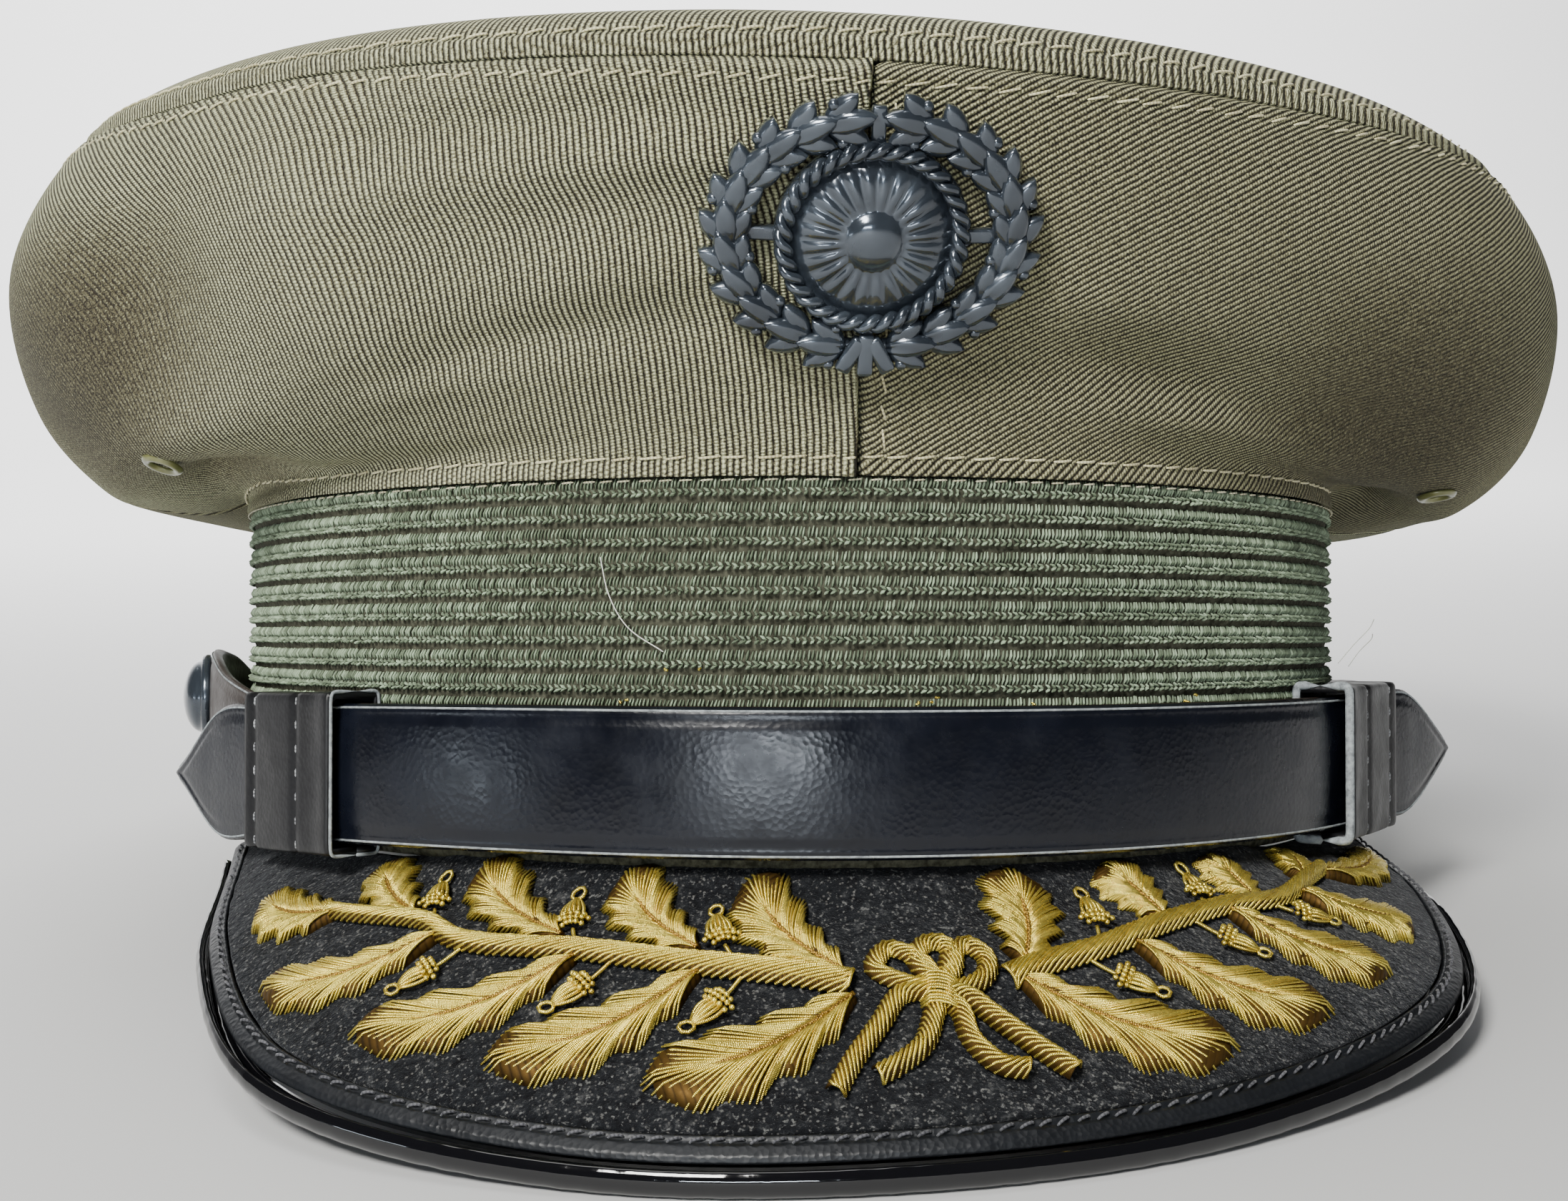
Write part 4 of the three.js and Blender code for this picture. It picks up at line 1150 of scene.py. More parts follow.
def binding():
    """The glossy roll round the edge and the flat flange that is sewn to the cloth."""
    def roll(u, v):
        around = peak_around(u)
        turn = np.radians(ROLL_START + ROLL_SWEEP * v)
        fat = ROLL_RADIUS * (1 + 0.012 * np.sin(around * 3.1) + 0.01 * np.sin(around * 7.7 + 1))
        inset = ROLL_RADIUS + fat * np.cos(turn)
        return peak_surface(around, peak_inset(around, inset), ROLL_CENTRE + fat * np.sin(turn))
    mesh = grid_mesh("peak_roll", 260, 24, roll, arc_chart(roll, 81, 9), outside=(0, -60, 0))
    add_wall(piece("peak_roll", mesh, PATENT, "peak_binding"), 0.9)

    def flange(u, v):
        around = peak_around(u)
        inset = FLANGE_REACH + (FLANGE_INNER_INSET - FLANGE_REACH) * v
        dip = -0.25 * hump(inset - FLANGE_STITCH_INSET, 0.4) - 0.5 * hump(v - 1, 0.12)
        edge = -0.3 * hump(v, 0.05)
        return peak_surface(around, peak_inset(around, inset), FLANGE_TOP + dip + edge)
    mesh = grid_mesh("peak_flange", 260, 16, flange, arc_chart(flange, 81, 9), outside=BELOW_PEAK)
    add_wall(piece("peak_flange", mesh, FLANGE_LEATHER), 1.0)


# Strap
STRAP_BULGE = 0.3
KEEPERS = [
    # name, outer end and mouth in degrees around, radius of the rim at the mouth
    ("keeper_left", -59.0, -46.0, 0.24),
    ("keeper_right", 58.4, 45.5, 0.62),
]
KEEPER_WALL = 1.6
KEEPER_LEATHER_WALL = 1.0
KEEPER_SQUARE = 0.16
KEEPER_STITCHES = 7
KEEPER_STITCH_FACE = (0.02, 0.48)
KEEPER_STITCH_RADIUS = 0.17
# One stitch of a keeper: places along it in millimetres, and how far each is over the leather
KEEPER_STITCH_PLACES = np.array([-0.85, -0.3, 0.3, 0.85])
KEEPER_STITCH_LIFT = np.array([-0.25, 0.14, 0.14, -0.25])
NEAR_STITCHES = 0.10
FAR_STITCHES = 0.62
KEEPER_SKIN = [
    # lift, share of the way from the outer end to the mouth, width
    (0.55, 1.0, 0.13),
    (0.12, 0.0, 0.05),
    (-0.22, NEAR_STITCHES, 0.03),
    (-0.22, FAR_STITCHES, 0.03),
]
EDGE_LINE = 0.16


def strap_section(course, around, wall, share):
    """A point of the strap's skin: share runs from 0 to 1 up the outer face and back down the inner."""
    away = smooth(course, around, 1)
    middle = smooth(course, around, 2)
    half = smooth(course, around, 3)
    face = share * 2
    outer = face <= 1
    across = np.where(outer, 2 * face - 1, 3 - 2 * face)
    edge = half * (1 - np.abs(across))
    crease = 0.22 * hump(edge - 1.5, 0.45)
    bulge = STRAP_BULGE * (1 - across**2) * np.minimum(half / (STRAP_WIDTH / 2), 1)
    shoulder = 0.45 * np.exp(-edge / 0.35)
    depth = np.where(outer, wall - shoulder + bulge - crease, shoulder * 0.6)
    return beside(around, away + depth, middle + across * half)


def strap(name, course, wall, finish, node, columns):
    start, end = course[0][0], course[-1][0]

    def place(u, v):
        return strap_section(course, start + (end - start) * u, wall, v)
    mesh = grid_mesh(name, columns, 64, place, arc_chart(place, 121, 33), closed=True, outside=(0, 0, 11))
    cap_ends(mesh)
    return piece(name, mesh, finish, node)


def cap_ends(mesh):
    bm = bmesh.new()
    bm.from_mesh(mesh)
    bmesh.ops.holes_fill(bm, edges=[e for e in bm.edges if e.is_boundary], sides=0)
    bmesh.ops.triangulate(bm, faces=[f for f in bm.faces if len(f.verts) > 4])
    bmesh.ops.recalc_face_normals(bm, faces=bm.faces)
    bm.to_mesh(mesh)
    bm.free()
    shade_smooth(mesh)


def keeper_ring(around, turn, skin):
    """A point on the keeper's loop: turn runs 0 to 1 from the bottom up the front and down the back."""
    inner = smooth(BACK_STRAP, around, 1) - GAP
    outer = smooth(FRONT_STRAP, around, 1) + STRAP_FRONT_WALL + GAP
    height = (smooth(BACK_STRAP, around, 2) + smooth(FRONT_STRAP, around, 2)) / 2
    half = STRAP_WIDTH / 2 + 0.3 + GAP
    depth = (outer - inner) / 2
    angle = 2 * math.pi * turn
    c, s = np.sin(angle), -np.cos(angle)
    x = np.sign(c) * np.abs(c) ** KEEPER_SQUARE
    z = np.sign(s) * np.abs(s) ** (KEEPER_SQUARE * 0.6)
    away = (inner + outer) / 2 + x * (depth + np.where(c > 0, KEEPER_WALL, 1.0) * skin)
    return beside(around, away, height + z * (half + np.minimum(skin, 1.0)))


def keeper(name, outer, mouth):
    def place(u, v):
        skin = 1.0 + relief(v, KEEPER_SKIN) + 0.10 * np.sin(math.pi * v)
        return keeper_ring(outer + (mouth - outer) * v, u, skin)
    mesh = grid_mesh(name + "_leather", 120, 44, place, arc_chart(place, 81, 21), closed=True)
    add_wall(piece(name + "_leather", mesh, KEEPER_LEATHER, name), KEEPER_LEATHER_WALL)


def keeper_trim(name, outer, mouth, rim):
    """Two rows of stitches across the keeper's face, and the raw edge of the leather at its mouth."""
    turn = np.linspace(*KEEPER_STITCH_FACE, 61)
    for label, share in (("near", NEAR_STITCHES), ("far", FAR_STITCHES)):
        around = outer + (mouth - outer) * share
        run = keeper_ring(around, turn, 0.80)
        out = keeper_ring(around, turn, 1.80) - run
        length = lengths_along(run)
        centres = np.arange(1.6, length[-1] - 1, length[-1] / KEEPER_STITCHES)
        at = centres[:, None] + KEEPER_STITCH_PLACES
        up = unit(read_off(at, length, out))
        paths = read_off(at, length, run) + up * KEEPER_STITCH_LIFT[:, None]
        strands("%s_stitches_%s" % (name, label), paths, up, KEEPER_STITCH_RADIUS, KEEPER_THREAD,
                "strap_leather", sides=6, round_end=0.7)
    once = np.linspace(0, 1, 161)
    run = keeper_ring(mouth, once, 1.15)
    out = unit(keeper_ring(mouth, once, 2.15) - run)
    strands(name + "_rim", run[None], out[None], rim, CUT_LEATHER, "strap_leather", sides=10)


def cut_edge(name, course, wall, columns):
    """The pale raw edge of a strap, a thin line along its top and bottom corners."""
    start, end = course[0][0], course[-1][0]
    turns = np.linspace(start + 0.3, end - 0.3, columns)
    for side, share in (("top", 0.487), ("bottom", 0.013)):
        run = strap_section(course, turns, wall, np.full(columns, share))
        out = unit(strap_section(course, turns, wall + 1, np.full(columns, share)) - run)
        line = run + out * 0.02
        strands("%s_edge_%s" % (name, side), line[None], out[None], EDGE_LINE, CUT_LEATHER, "strap_leather",
                sides=6, squash=0.6, round_end=0.5)


def strap_pieces():
    strap("strap_front_leather", FRONT_STRAP, STRAP_FRONT_WALL, STRAP_LEATHER, "strap_front", 420)
    strap("strap_back_leather", BACK_STRAP, STRAP_BACK_WALL, BROWN_LEATHER, "strap_back", 300)
    cut_edge("strap_front", FRONT_STRAP, STRAP_FRONT_WALL, 420)
    cut_edge("strap_back", BACK_STRAP, STRAP_BACK_WALL, 300)
    for name, outer, mouth, rim in KEEPERS:
        keeper(name, outer, mouth)
        keeper_trim(name, outer, mouth, rim)


LOOSE_THREADS = [
    # runs of (around, away, height) beside the band
    [(-23.4, 0.5, 38.2), (-22.6, 0.7, 33.5), (-21.0, 0.7, 29.5), (-18.2, 0.5, 26.6)],
    [(56.0, 2.0, 24.5), (57.2, 4.0, 27.2), (58.6, 6.0, 29.6), (59.4, 6.6, 31.0)],
    [(58.6, 3.0, 24.0), (60.0, 4.4, 26.2), (61.8, 6.0, 28.0), (63.0, 6.2, 28.8)],
]
LINT = [
    # around, height
    (-21.9, 20.4),
    (-20.9, 20.8),
    (-17.9, 24.7),
    (-15.3, 24.2),
    (-6.5, 19.8),
    (-0.4, 19.8),
    (1.8, 20.4),
    (2.9, 20.6),
    (3.4, 21.1),
    (12.0, 19.9),
    (27.0, 20.2),
    (28.1, 20.8),
]
LINT_LENGTH = 1.3
LINT_AWAY = 0.35
LINT_CURL = np.array([0.5, 0.18, 0.3])
LINT_RADIUS = 0.16
THREAD_RADIUS = 0.075


def stray_fibres():
    """Loose pale threads beside the band, and crumbs of gold wire caught above the strap."""
    runs = []
    for thread in LOOSE_THREADS:
        around, away, height = curve_through(thread, 24).T
        runs.append(beside(around, away, height))
    facing = np.broadcast_to(unit(np.array([0.3, -1.0, 0.4])), np.shape(runs))
    strands("loose_threads", runs, facing, THREAD_RADIUS, STRAY_THREAD, "braid")
    crumbs = []
    for around, height in LINT:
        curl = chance.normal(0, 0.45, (5, 3)) * LINT_LENGTH * LINT_CURL
        crumbs.append(beside(around, LINT_AWAY, height) + np.cumsum(curl, axis=0) * 0.6)
    facing = np.broadcast_to(unit(np.array([0.1, -1.0, 0.3])), np.shape(crumbs))
    strands("gold_lint", crumbs, facing, LINT_RADIUS, GOLD, "gold_bullion")


# Bullion embroidery. Places on the peak are degrees around and the share of the way out.
RELIEF_LIFT = 0.35
PADDING_WALL = 0.25
SATIN_END_LIFT = 0.25
SHORTEST_STRAND = 0.5
STRAND_RADIUS = 0.175
STRANDS_A_SIDE = 36
STRAND_GIRTH = np.array([0.8, 1, 1, 1, 1, 0.8])
STRAND_STRAY = 0.03
# Where a leaf's strands leave its vein and meet its edge: the first place, and the stretch that they share
STRAND_ROOTS = (0.01, 0.70)
STRAND_ENDS = (0.19, 0.86)
LEAF_BOW = 0.07
LEAF_PADDING_SHARE = 0.90
VEIN_END = 0.93
VEIN_LIFT = 0.85
VEIN_COIL = 0.17
VEIN_PITCH = 1.5
VEIN_RADIUS = 0.21
LEAVES = [
    # base_around, base_out, tip_around, tip_out, width
    (-42.0, 0.36, -51.0, 0.50, 10.5),
    (-35.0, 0.285, -42.5, 0.10, 9.5),
    (-22.7, 0.29, -32.0, 0.07, 10),
    (-13.0, 0.31, -19.6, 0.07, 10),
    (-3.4, 0.39, -9.9, 0.08, 10.5),
    (-31.8, 0.34, -42.0, 0.73, 9),
    (-21.1, 0.36, -32.3, 0.72, 10),
    (-12.6, 0.39, -23.2, 0.717, 10.5),
    (-2.9, 0.47, -13.9, 0.73, 11.5),
    (8.4, 0.39, 10.4, 0.07, 11),
    (20.6, 0.28, 19.2, 0.07, 9.5),
    (29.6, 0.29, 30.4, 0.08, 9),
    (38.0, 0.25, 41.2, 0.11, 7.5),
    (41.7, 0.27, 55, 0.40, 8),
    (7.6, 0.434, 18.4, 0.75, 11.5),
    (17.0, 0.36, 26.3, 0.73, 10.5),
    (26.6, 0.30, 33.7, 0.70, 9.5),
    (35.3, 0.31, 41.9, 0.65, 9),
]
STEMS = {
    # around, out
    "left": [
        (-3.0, 0.425),
        (-6.8, 0.386),
        (-13.0, 0.357),
        (-21.0, 0.332),
        (-29.5, 0.35),
        (-34.5, 0.30),
        (-42.9, 0.37),
    ],
    "right": [
        (6.9, 0.435),
        (9.5, 0.396),
        (14.0, 0.361),
        (20.3, 0.30),
        (27.0, 0.28),
        (32.2, 0.305),
        (38.0, 0.265),
        (42.0, 0.25),
    ],
}
STEM_WIDTHS = {"left": (4.2, 2.4), "right": (3.8, 2.2)}
ACORNS = [
    # base_around, base_out, tip_around, tip_out
    (-32.7, 0.31, -35.2, 0.09),
    (-21.3, 0.32, -23.0, 0.11),
    (-10.1, 0.36, -12.4, 0.12),
    (-29.2, 0.365, -33.5, 0.63),
    (-18.3, 0.35, -23.1, 0.60),
    (-9.6, 0.385, -14.2, 0.625),
    (14.3, 0.35, 15.5, 0.11),
    (24.8, 0.28, 26.2, 0.10),
    (12.6, 0.38, 18.4, 0.60),
    (22.8, 0.30, 27.0, 0.545),
    (31.0, 0.31, 35.0, 0.49),
]
ACORN_STALK = 0.30
ACORN_CURL = 0.85
ACORN_WIRES = 6
ACORN_WIRE_RADIUS = 0.27
ACORN_BEAD_GIRTH = np.array([0.30, 0.40, 0.30])
CUP_LENGTH = 1.3
NUT_LENGTH = 3.8
NUT_HALF_WIDTH = 1.35
NUT_FARTHEST = 0.86
ACORN_BEADS = [
    # count and reach of each row of beads on the cup
    (5, 1.15),
    (7, 2.0),
    (5, 1.55),
]
LEAF_EDGE_ROLL = 0.84
LEAF_LOBES = [
    # share of the leaf's length, share of half of its width
    (0.0, 0.10),
    (0.10, 0.30),
    (0.20, 0.56),
    (0.29, 0.46),
    (0.42, 0.84),
    (0.52, 0.64),
    (0.66, 1.0),
    (0.77, 0.78),
    (0.88, 0.90),
    (0.97, 0.52),
    (1.04, 0.14),
    (1.06, 0.0),
]
BOW_RIBBONS = [
    # each ribbon is a run of points: around, out
    [(2.2, 0.457), (0.3, 0.433), (-1.4, 0.38), (-0.4, 0.313), (1.5, 0.356), (2.4, 0.438)],
    [(2.5, 0.446), (1.4, 0.369), (2.0, 0.305), (3.4, 0.304), (3.8, 0.362), (2.8, 0.447)],
    [(2.9, 0.447), (3.7, 0.349), (4.95, 0.313), (6.0, 0.369), (5.2, 0.437), (3.2, 0.472)],
    [(2.0, 0.47), (-0.1, 0.475), (-1.5, 0.56), (-3.2, 0.67), (-4.25, 0.76)],
    [(2.3, 0.50), (1.7, 0.54), (0.8, 0.63), (-0.8, 0.69), (-2.0, 0.72)],
    [(2.5, 0.50), (3.3, 0.54), (3.5, 0.63), (4.6, 0.71), (6.1, 0.732)],
    [(2.8, 0.48), (4.0, 0.50), (5.6, 0.59), (7.2, 0.68), (8.6, 0.755)],
]
BOW_KNOT = [(2.55, 0.43), (2.4, 0.48), (2.2, 0.54)]
BOW_WIDTH = 2.4
BOW_KNOT_WIDTH = 4.6
STEM_HEIGHT = 1.2
RIBBON_STEP = 0.12


def peak_metric(around, out):
    """Millimetres for one degree around and for the whole way out, at a place on the peak."""
    around, out = np.asarray(around, float), np.asarray(out, float)
    per_degree = np.linalg.norm(peak_base(around + 0.5, out) - peak_base(around - 0.5, out), axis=-1)
    per_out = np.linalg.norm(peak_base(around, out + 0.05) - peak_base(around, out - 0.05), axis=-1) * 10
    return per_degree, per_out


def curve_through(knots, count):
    """A smooth run of places through a few knots."""
    at = np.linspace(0, len(knots) - 1, count)
    return np.stack([smooth(knots, at, column, by_row=True) for column in range(len(knots[0]))], axis=-1)


def offset_on_peak(run, side):
    """Moves the places of a run sideways by some millimetres."""
    per_degree, per_out = peak_metric(run[..., 0], run[..., 1])
    ahead = np.gradient(run, axis=0)
    course = unit(np.stack([ahead[..., 0] * per_degree, ahead[..., 1] * per_out], axis=-1))
    return np.stack([run[..., 0] - course[..., 1] * side / per_degree,
                     run[..., 1] + course[..., 0] * side / per_out], axis=-1)


def leaf_place(leaf, share, side):
    """Around and out for a share of the leaf's length and mm beside its vein."""
    base, tip = np.array(leaf[0:2], float), np.array(leaf[2:4], float)
    middle = (base + tip) / 2
    per_degree, per_out = peak_metric(middle[0], middle[1])
    course = np.array([(tip[0] - base[0]) * per_degree, (tip[1] - base[1]) * per_out])
    length = np.linalg.norm(course)
    course = course / length
    bow = LEAF_BOW * length * np.sin(np.pi * np.clip(share, 0, 1)) * np.sign(tip[0])
    x = course[0] * share * length - course[1] * (side + bow)
    y = course[1] * share * length + course[0] * (side + bow)
    return base[0] + x / per_degree, base[1] + y / per_out


def leaf_height(across):
    """The padded leaf's height over the cloth, from the vein at 0 to the edge at 1."""
    across = np.clip(across, 0, 1)
    rolled = 0.5 * np.clip((across - LEAF_EDGE_ROLL) / (1 - LEAF_EDGE_ROLL), 0, 1) ** 2
    padded = np.cos(np.pi / 2 * across**2.2) ** 0.8
    return RELIEF_LIFT + 0.25 + padded - 0.45 * hump(across, 0.18) - rolled


def on_peak(around, out, over):
    return peak_surface(around, np.clip(out, 0.005, 1), over)


def peak_up(around, out):
    return peak_normal(around, np.clip(out, 0.03, 0.97))


def leaf_strands():
    paths, normals = [], []
    rank = np.linspace(0, 1, STRANDS_A_SIDE)
    share = np.linspace(0, 1, 6)[None]
    for leaf in LEAVES:
        for side in (-1, 1):
            root = STRAND_ROOTS[0] + STRAND_ROOTS[1] * rank**1.1 + chance.normal(0, 0.002, len(rank))
            end = STRAND_ENDS[0] + STRAND_ENDS[1] * rank + chance.normal(0, 0.002, len(rank))
            half = smooth(LEAF_LOBES, end, 1) * leaf[4] / 2
            half = half * (1 + chance.normal(0, 0.008, len(rank)))
            along = root[:, None] + (end - root)[:, None] * share ** 0.9
            across = half[:, None] * (0.03 + 0.97 * share ** 1.12)
            around, out = leaf_place(leaf, along, side * across)
            stray = chance.normal(0, STRAND_STRAY, (len(rank), 1))
            paths.append(on_peak(around, out, leaf_height(np.broadcast_to(share, along.shape)) + stray))
            normals.append(peak_up(around, out))
    strands("leaf_strands", np.concatenate(paths), np.concatenate(normals),
            STRAND_GIRTH * STRAND_RADIUS, GOLD, "gold_bullion", ["oak_spray_left", "oak_spray_right"])


def leaf_padding():
    """The soft core under each leaf, which shows between the strands; its dark brown is painted shade of the
    gaps.
    """
    flat, faces = flat_grid(22, 10)
    along = flat[:, 0]
    across = flat[:, 1] * 2 - 1
    corners, charts = [], []
    for leaf in LEAVES:
        half = smooth(LEAF_LOBES, along, 1) * leaf[4] / 2 * LEAF_PADDING_SHARE
        around, out = leaf_place(leaf, along, across * half)
        closing = np.clip((np.abs(along - 0.5) - 0.40) / 0.10, 0, 1) ** 2
        over = leaf_height(np.abs(across)) - 0.26 - 0.15 * np.abs(across) - 0.75 * closing
        corners.append(on_peak(around, out, over))
        charts.append(np.stack([along * 15, across * half], axis=-1))
    mesh = joined("leaf_padding", np.array(corners), np.array(charts), faces)
    add_wall(piece("leaf_padding", mesh, PADDING_PAINTED_SHADE), PADDING_WALL, even=False)


def rope(run, over, radius, pitch, plies=2):
    """Plies of a twisted cord along a run of places on the peak, as paths and normals."""
    centre = on_peak(run[:, 0], run[:, 1], over)
    normal = peak_up(run[:, 0], run[:, 1])
    length = lengths_along(centre)
    side = np.cross(unit(np.gradient(centre, axis=0)), normal)
    paths = []
    for ply in range(plies):
        turn = 2 * np.pi * (length / pitch + ply / plies)
        paths.append(centre + radius * (np.cos(turn)[:, None] * side + np.sin(turn)[:, None] * normal))
    return paths, [normal] * plies


def leaf_veins():
    paths, normals = [], []
    for leaf in LEAVES:
        around, out = leaf_place(leaf, np.linspace(0.0, VEIN_END, 40), 0.0)
        run = np.stack([around, out], axis=-1)
        plies, up = rope(run, RELIEF_LIFT + VEIN_LIFT, VEIN_COIL, VEIN_PITCH)
        paths += plies
        normals += up
    strands("leaf_veins", paths, normals, VEIN_RADIUS, GOLD_VEIN, "gold_bullion")


def satin(run, widths, slant, spacing, high):
    """Strands laid slantwise over a padded band along a run: paths and normals."""
    length = lengths_along(on_peak(run[:, 0], run[:, 1], 0.0))
    starts = np.arange(-slant, length[-1], spacing)
    share = np.linspace(0, 1, 6)[None]
    at = np.clip(starts[:, None] + slant * share, 0, length[-1])
    at = at + chance.normal(0, 0.02, (len(starts), 1))
    width = np.interp(at, length, widths)
    across = (0.5 - share) * width
    around, out = np.moveaxis(read_off(at, length, run), -1, 0)
    per_degree, per_out = peak_metric(around, out)
    ahead = read_off(at + 0.5, length, run) - read_off(at - 0.5, length, run)
    course = unit(ahead * np.stack([per_degree, per_out], axis=-1))
    around = around - course[..., 1] * across / per_degree
    out = out + course[..., 0] * across / per_out
    over = RELIEF_LIFT + SATIN_END_LIFT + high * np.sqrt(np.clip(1 - (2 * share - 1) ** 2, 0, 1))
    over = over + chance.normal(0, STRAND_STRAY, (len(starts), 1))
    keep = np.ptp(at, axis=1) > SHORTEST_STRAND
    return on_peak(around, out, over)[keep], peak_up(around, out)[keep]


def stems():
    laid = []
    for side, knots in STEMS.items():
        widths = np.linspace(*STEM_WIDTHS[side], 160)
        run = curve_through(knots, 160)
        laid.append(satin(run, widths, slant=8.5, spacing=1.05, high=STEM_HEIGHT + 0.05))
    paths, normals = (np.concatenate(columns) for columns in zip(*laid))
    strands("stem_strands", paths, normals, STRAND_RADIUS * 1.2, GOLD, "gold_bullion")


def bow():
    laid = []
    for order, knots in enumerate(BOW_RIBBONS):
        run = curve_through(knots, 60)
        laid.append(satin(run, np.full(60, BOW_WIDTH), slant=3.6, spacing=0.85, high=1.0 + RIBBON_STEP * order))
    run = curve_through(BOW_KNOT, 30)
    laid.append(satin(run, np.full(30, BOW_KNOT_WIDTH), slant=1.2, spacing=0.5, high=1.9))
    paths, normals = (np.concatenate(columns) for columns in zip(*laid))
    strands("bow_strands", paths, normals, STRAND_RADIUS * 1.1, GOLD, "gold_bullion", "bow_knot")


def band_padding():
    """The core under the stems and the bow's ribbons; its dark brown is painted shade between their strands."""
    steps = 60
    flat, faces = flat_grid(steps, 8)
    index = np.round(flat[:, 0] * steps).astype(int)
    bands = [(STEMS[side], *STEM_WIDTHS[side], STEM_HEIGHT) for side in STEMS]
    for order, knots in enumerate(BOW_RIBBONS):
        bands.append((knots, BOW_WIDTH, BOW_WIDTH, 0.85 + RIBBON_STEP * order))
    corners, charts = [], []
    for knots, start, end, high in bands:
        run = curve_through(knots, steps + 1)
        across = (flat[:, 1] - 0.5) * 0.86 * (start + (end - start) * flat[:, 0])
        right, left = (offset_on_peak(run, side)[index] for side in (-1.0, 1.0))
        spot = run[index] + (left - right) / 2 * across[:, None]
        over = RELIEF_LIFT + 0.05 + high * np.sqrt(np.clip(1 - (2 * flat[:, 1] - 1) ** 2 * 0.98, 0, 1))
        corners.append(on_peak(spot[:, 0], spot[:, 1], over))
        charts.append(np.stack([flat[:, 0] * steps, across], axis=-1))
    mesh = joined("band_padding", np.array(corners), np.array(charts), faces)
    add_wall(piece("band_padding", mesh, PADDING_PAINTED_SHADE), PADDING_WALL, even=False)


def acorns():
    """A beaded cup by the stem, a small nut of a few wires, and a curl at its end."""
    paths, normals, spots, ups = [], [], [], []

    def wire(acorn, share, across, over):
        around, out = leaf_place(acorn, share, across)
        paths.append(on_peak(around, out, RELIEF_LIFT + over))
        normals.append(peak_up(around, out))

    for acorn in ACORNS:
        base, tip = np.array(acorn[0:2]), np.array(acorn[2:4])
        per_degree, per_out = peak_metric(*((base + tip) / 2))
        length = math.hypot((tip[0] - base[0]) * per_degree, (tip[1] - base[1]) * per_out)
        share = np.linspace(0, 1, 8)
        cup = ACORN_STALK + CUP_LENGTH / length
        nut_end = min(cup + NUT_LENGTH / length, NUT_FARTHEST)
        wire(acorn, share * ACORN_STALK, 0.0, 0.35)
        for lean in np.linspace(-1, 1, ACORN_WIRES):
            across = lean * NUT_HALF_WIDTH * np.sin(np.pi * np.clip(0.25 + 0.72 * share, 0, 1)) ** 0.8
            wire(acorn, cup + (nut_end - cup) * share, across,
                 0.35 + 0.9 * np.sin(np.pi * (0.12 + 0.8 * share)) * (1 - 0.55 * lean**2))
        turn = np.linspace(0, 1.9 * np.pi, 8)
        curl = ACORN_CURL * (1 - np.cos(turn))
        wire(acorn, nut_end + curl / length, ACORN_CURL * np.sin(turn), 0.45)
        for row, (count, reach) in enumerate(ACORN_BEADS):
            for lean in np.linspace(-1, 1, count):
                around, out = leaf_place(acorn, np.array([cup + (row - 1.4) * 0.75 / length]), lean * reach)
                over = RELIEF_LIFT + 0.45 + 0.95 * math.sqrt(max(1 - 0.8 * lean**2, 0))
                spots.append(on_peak(around, out, over)[0])
                ups.append(peak_up(around, out)[0])
    strands("acorn_wires", paths, normals, ACORN_WIRE_RADIUS, GOLD, "gold_bullion")
    ups = np.array(ups)
    sideways = unit(np.cross(ups, chance.normal(0, 1, ups.shape)))
    paths = np.array(spots)[:, None] + sideways[:, None] * np.array([-0.22, 0, 0.22])[None, :, None]
    strands("acorn_beads", paths, np.repeat(ups[:, None], 3, axis=1), ACORN_BEAD_GIRTH, GOLD,
            "gold_bullion", sides=6)


def embroidery():
    leaf_padding()
    leaf_strands()
    leaf_veins()
    band_padding()
    stems()
    bow()
    acorns()


# Badge: a wreath round a rayed boss with a rope rim
BADGE_HALF_WIDTH = 20.5
BADGE_HALF_HEIGHT = 17.5
BADGE_TURN = -2.6
BADGE_LEVEL = 4.55
BADGE_SEAT = 0.9
BADGE_BEND = 120.0
WREATH_INSET = 4
WREATH_START = -80
WREATH_SWEEP = 150
WREATH_LEAVES = 11
WREATH_TUFT = [
    # lean, length, lift of each leaf in a tuft
    (-0.62, 5.4, 0.0),
    (0.62, 5.4, 0.0),
    (0.0, 6.0, 0.5),
]
BERRY_LEAN = 1.1
BERRY_AWAY = 2.5
BERRY_RADIUS = 0.75
STALK_ROUND = 0.7
WREATH_LEAF_WIDTH = 2.9
WREATH_LEAF_TILT = 0.7
BOSS_PROFILE = [
    # radius, height
    (0, 4.4), (1.2, 4.3), (2.3, 3.95), (3.1, 3.45),
    (3.3, 3.1), (3.8, 2.95), (4.6, 3.05), (6.0, 2.95),
    (7.6, 2.55), (8.6, 2.0), (8.9, 1.6), (9.4, 1.5),
    (10.9, 1.5), (11.2, 1.2), (11.2, 0.0), (0, 0.0),
]
BOSS_RAYS = 24
RAYS_FROM = 3.9
RAYS_TO = 8.5
RAY_RISE = 0.45
ROPE_TURNS = 34
ROPE_REACH = 10.2
ROPE_COIL = 0.55
ROPE_LIFT = 2.05
ROPE_RADIUS = 0.62


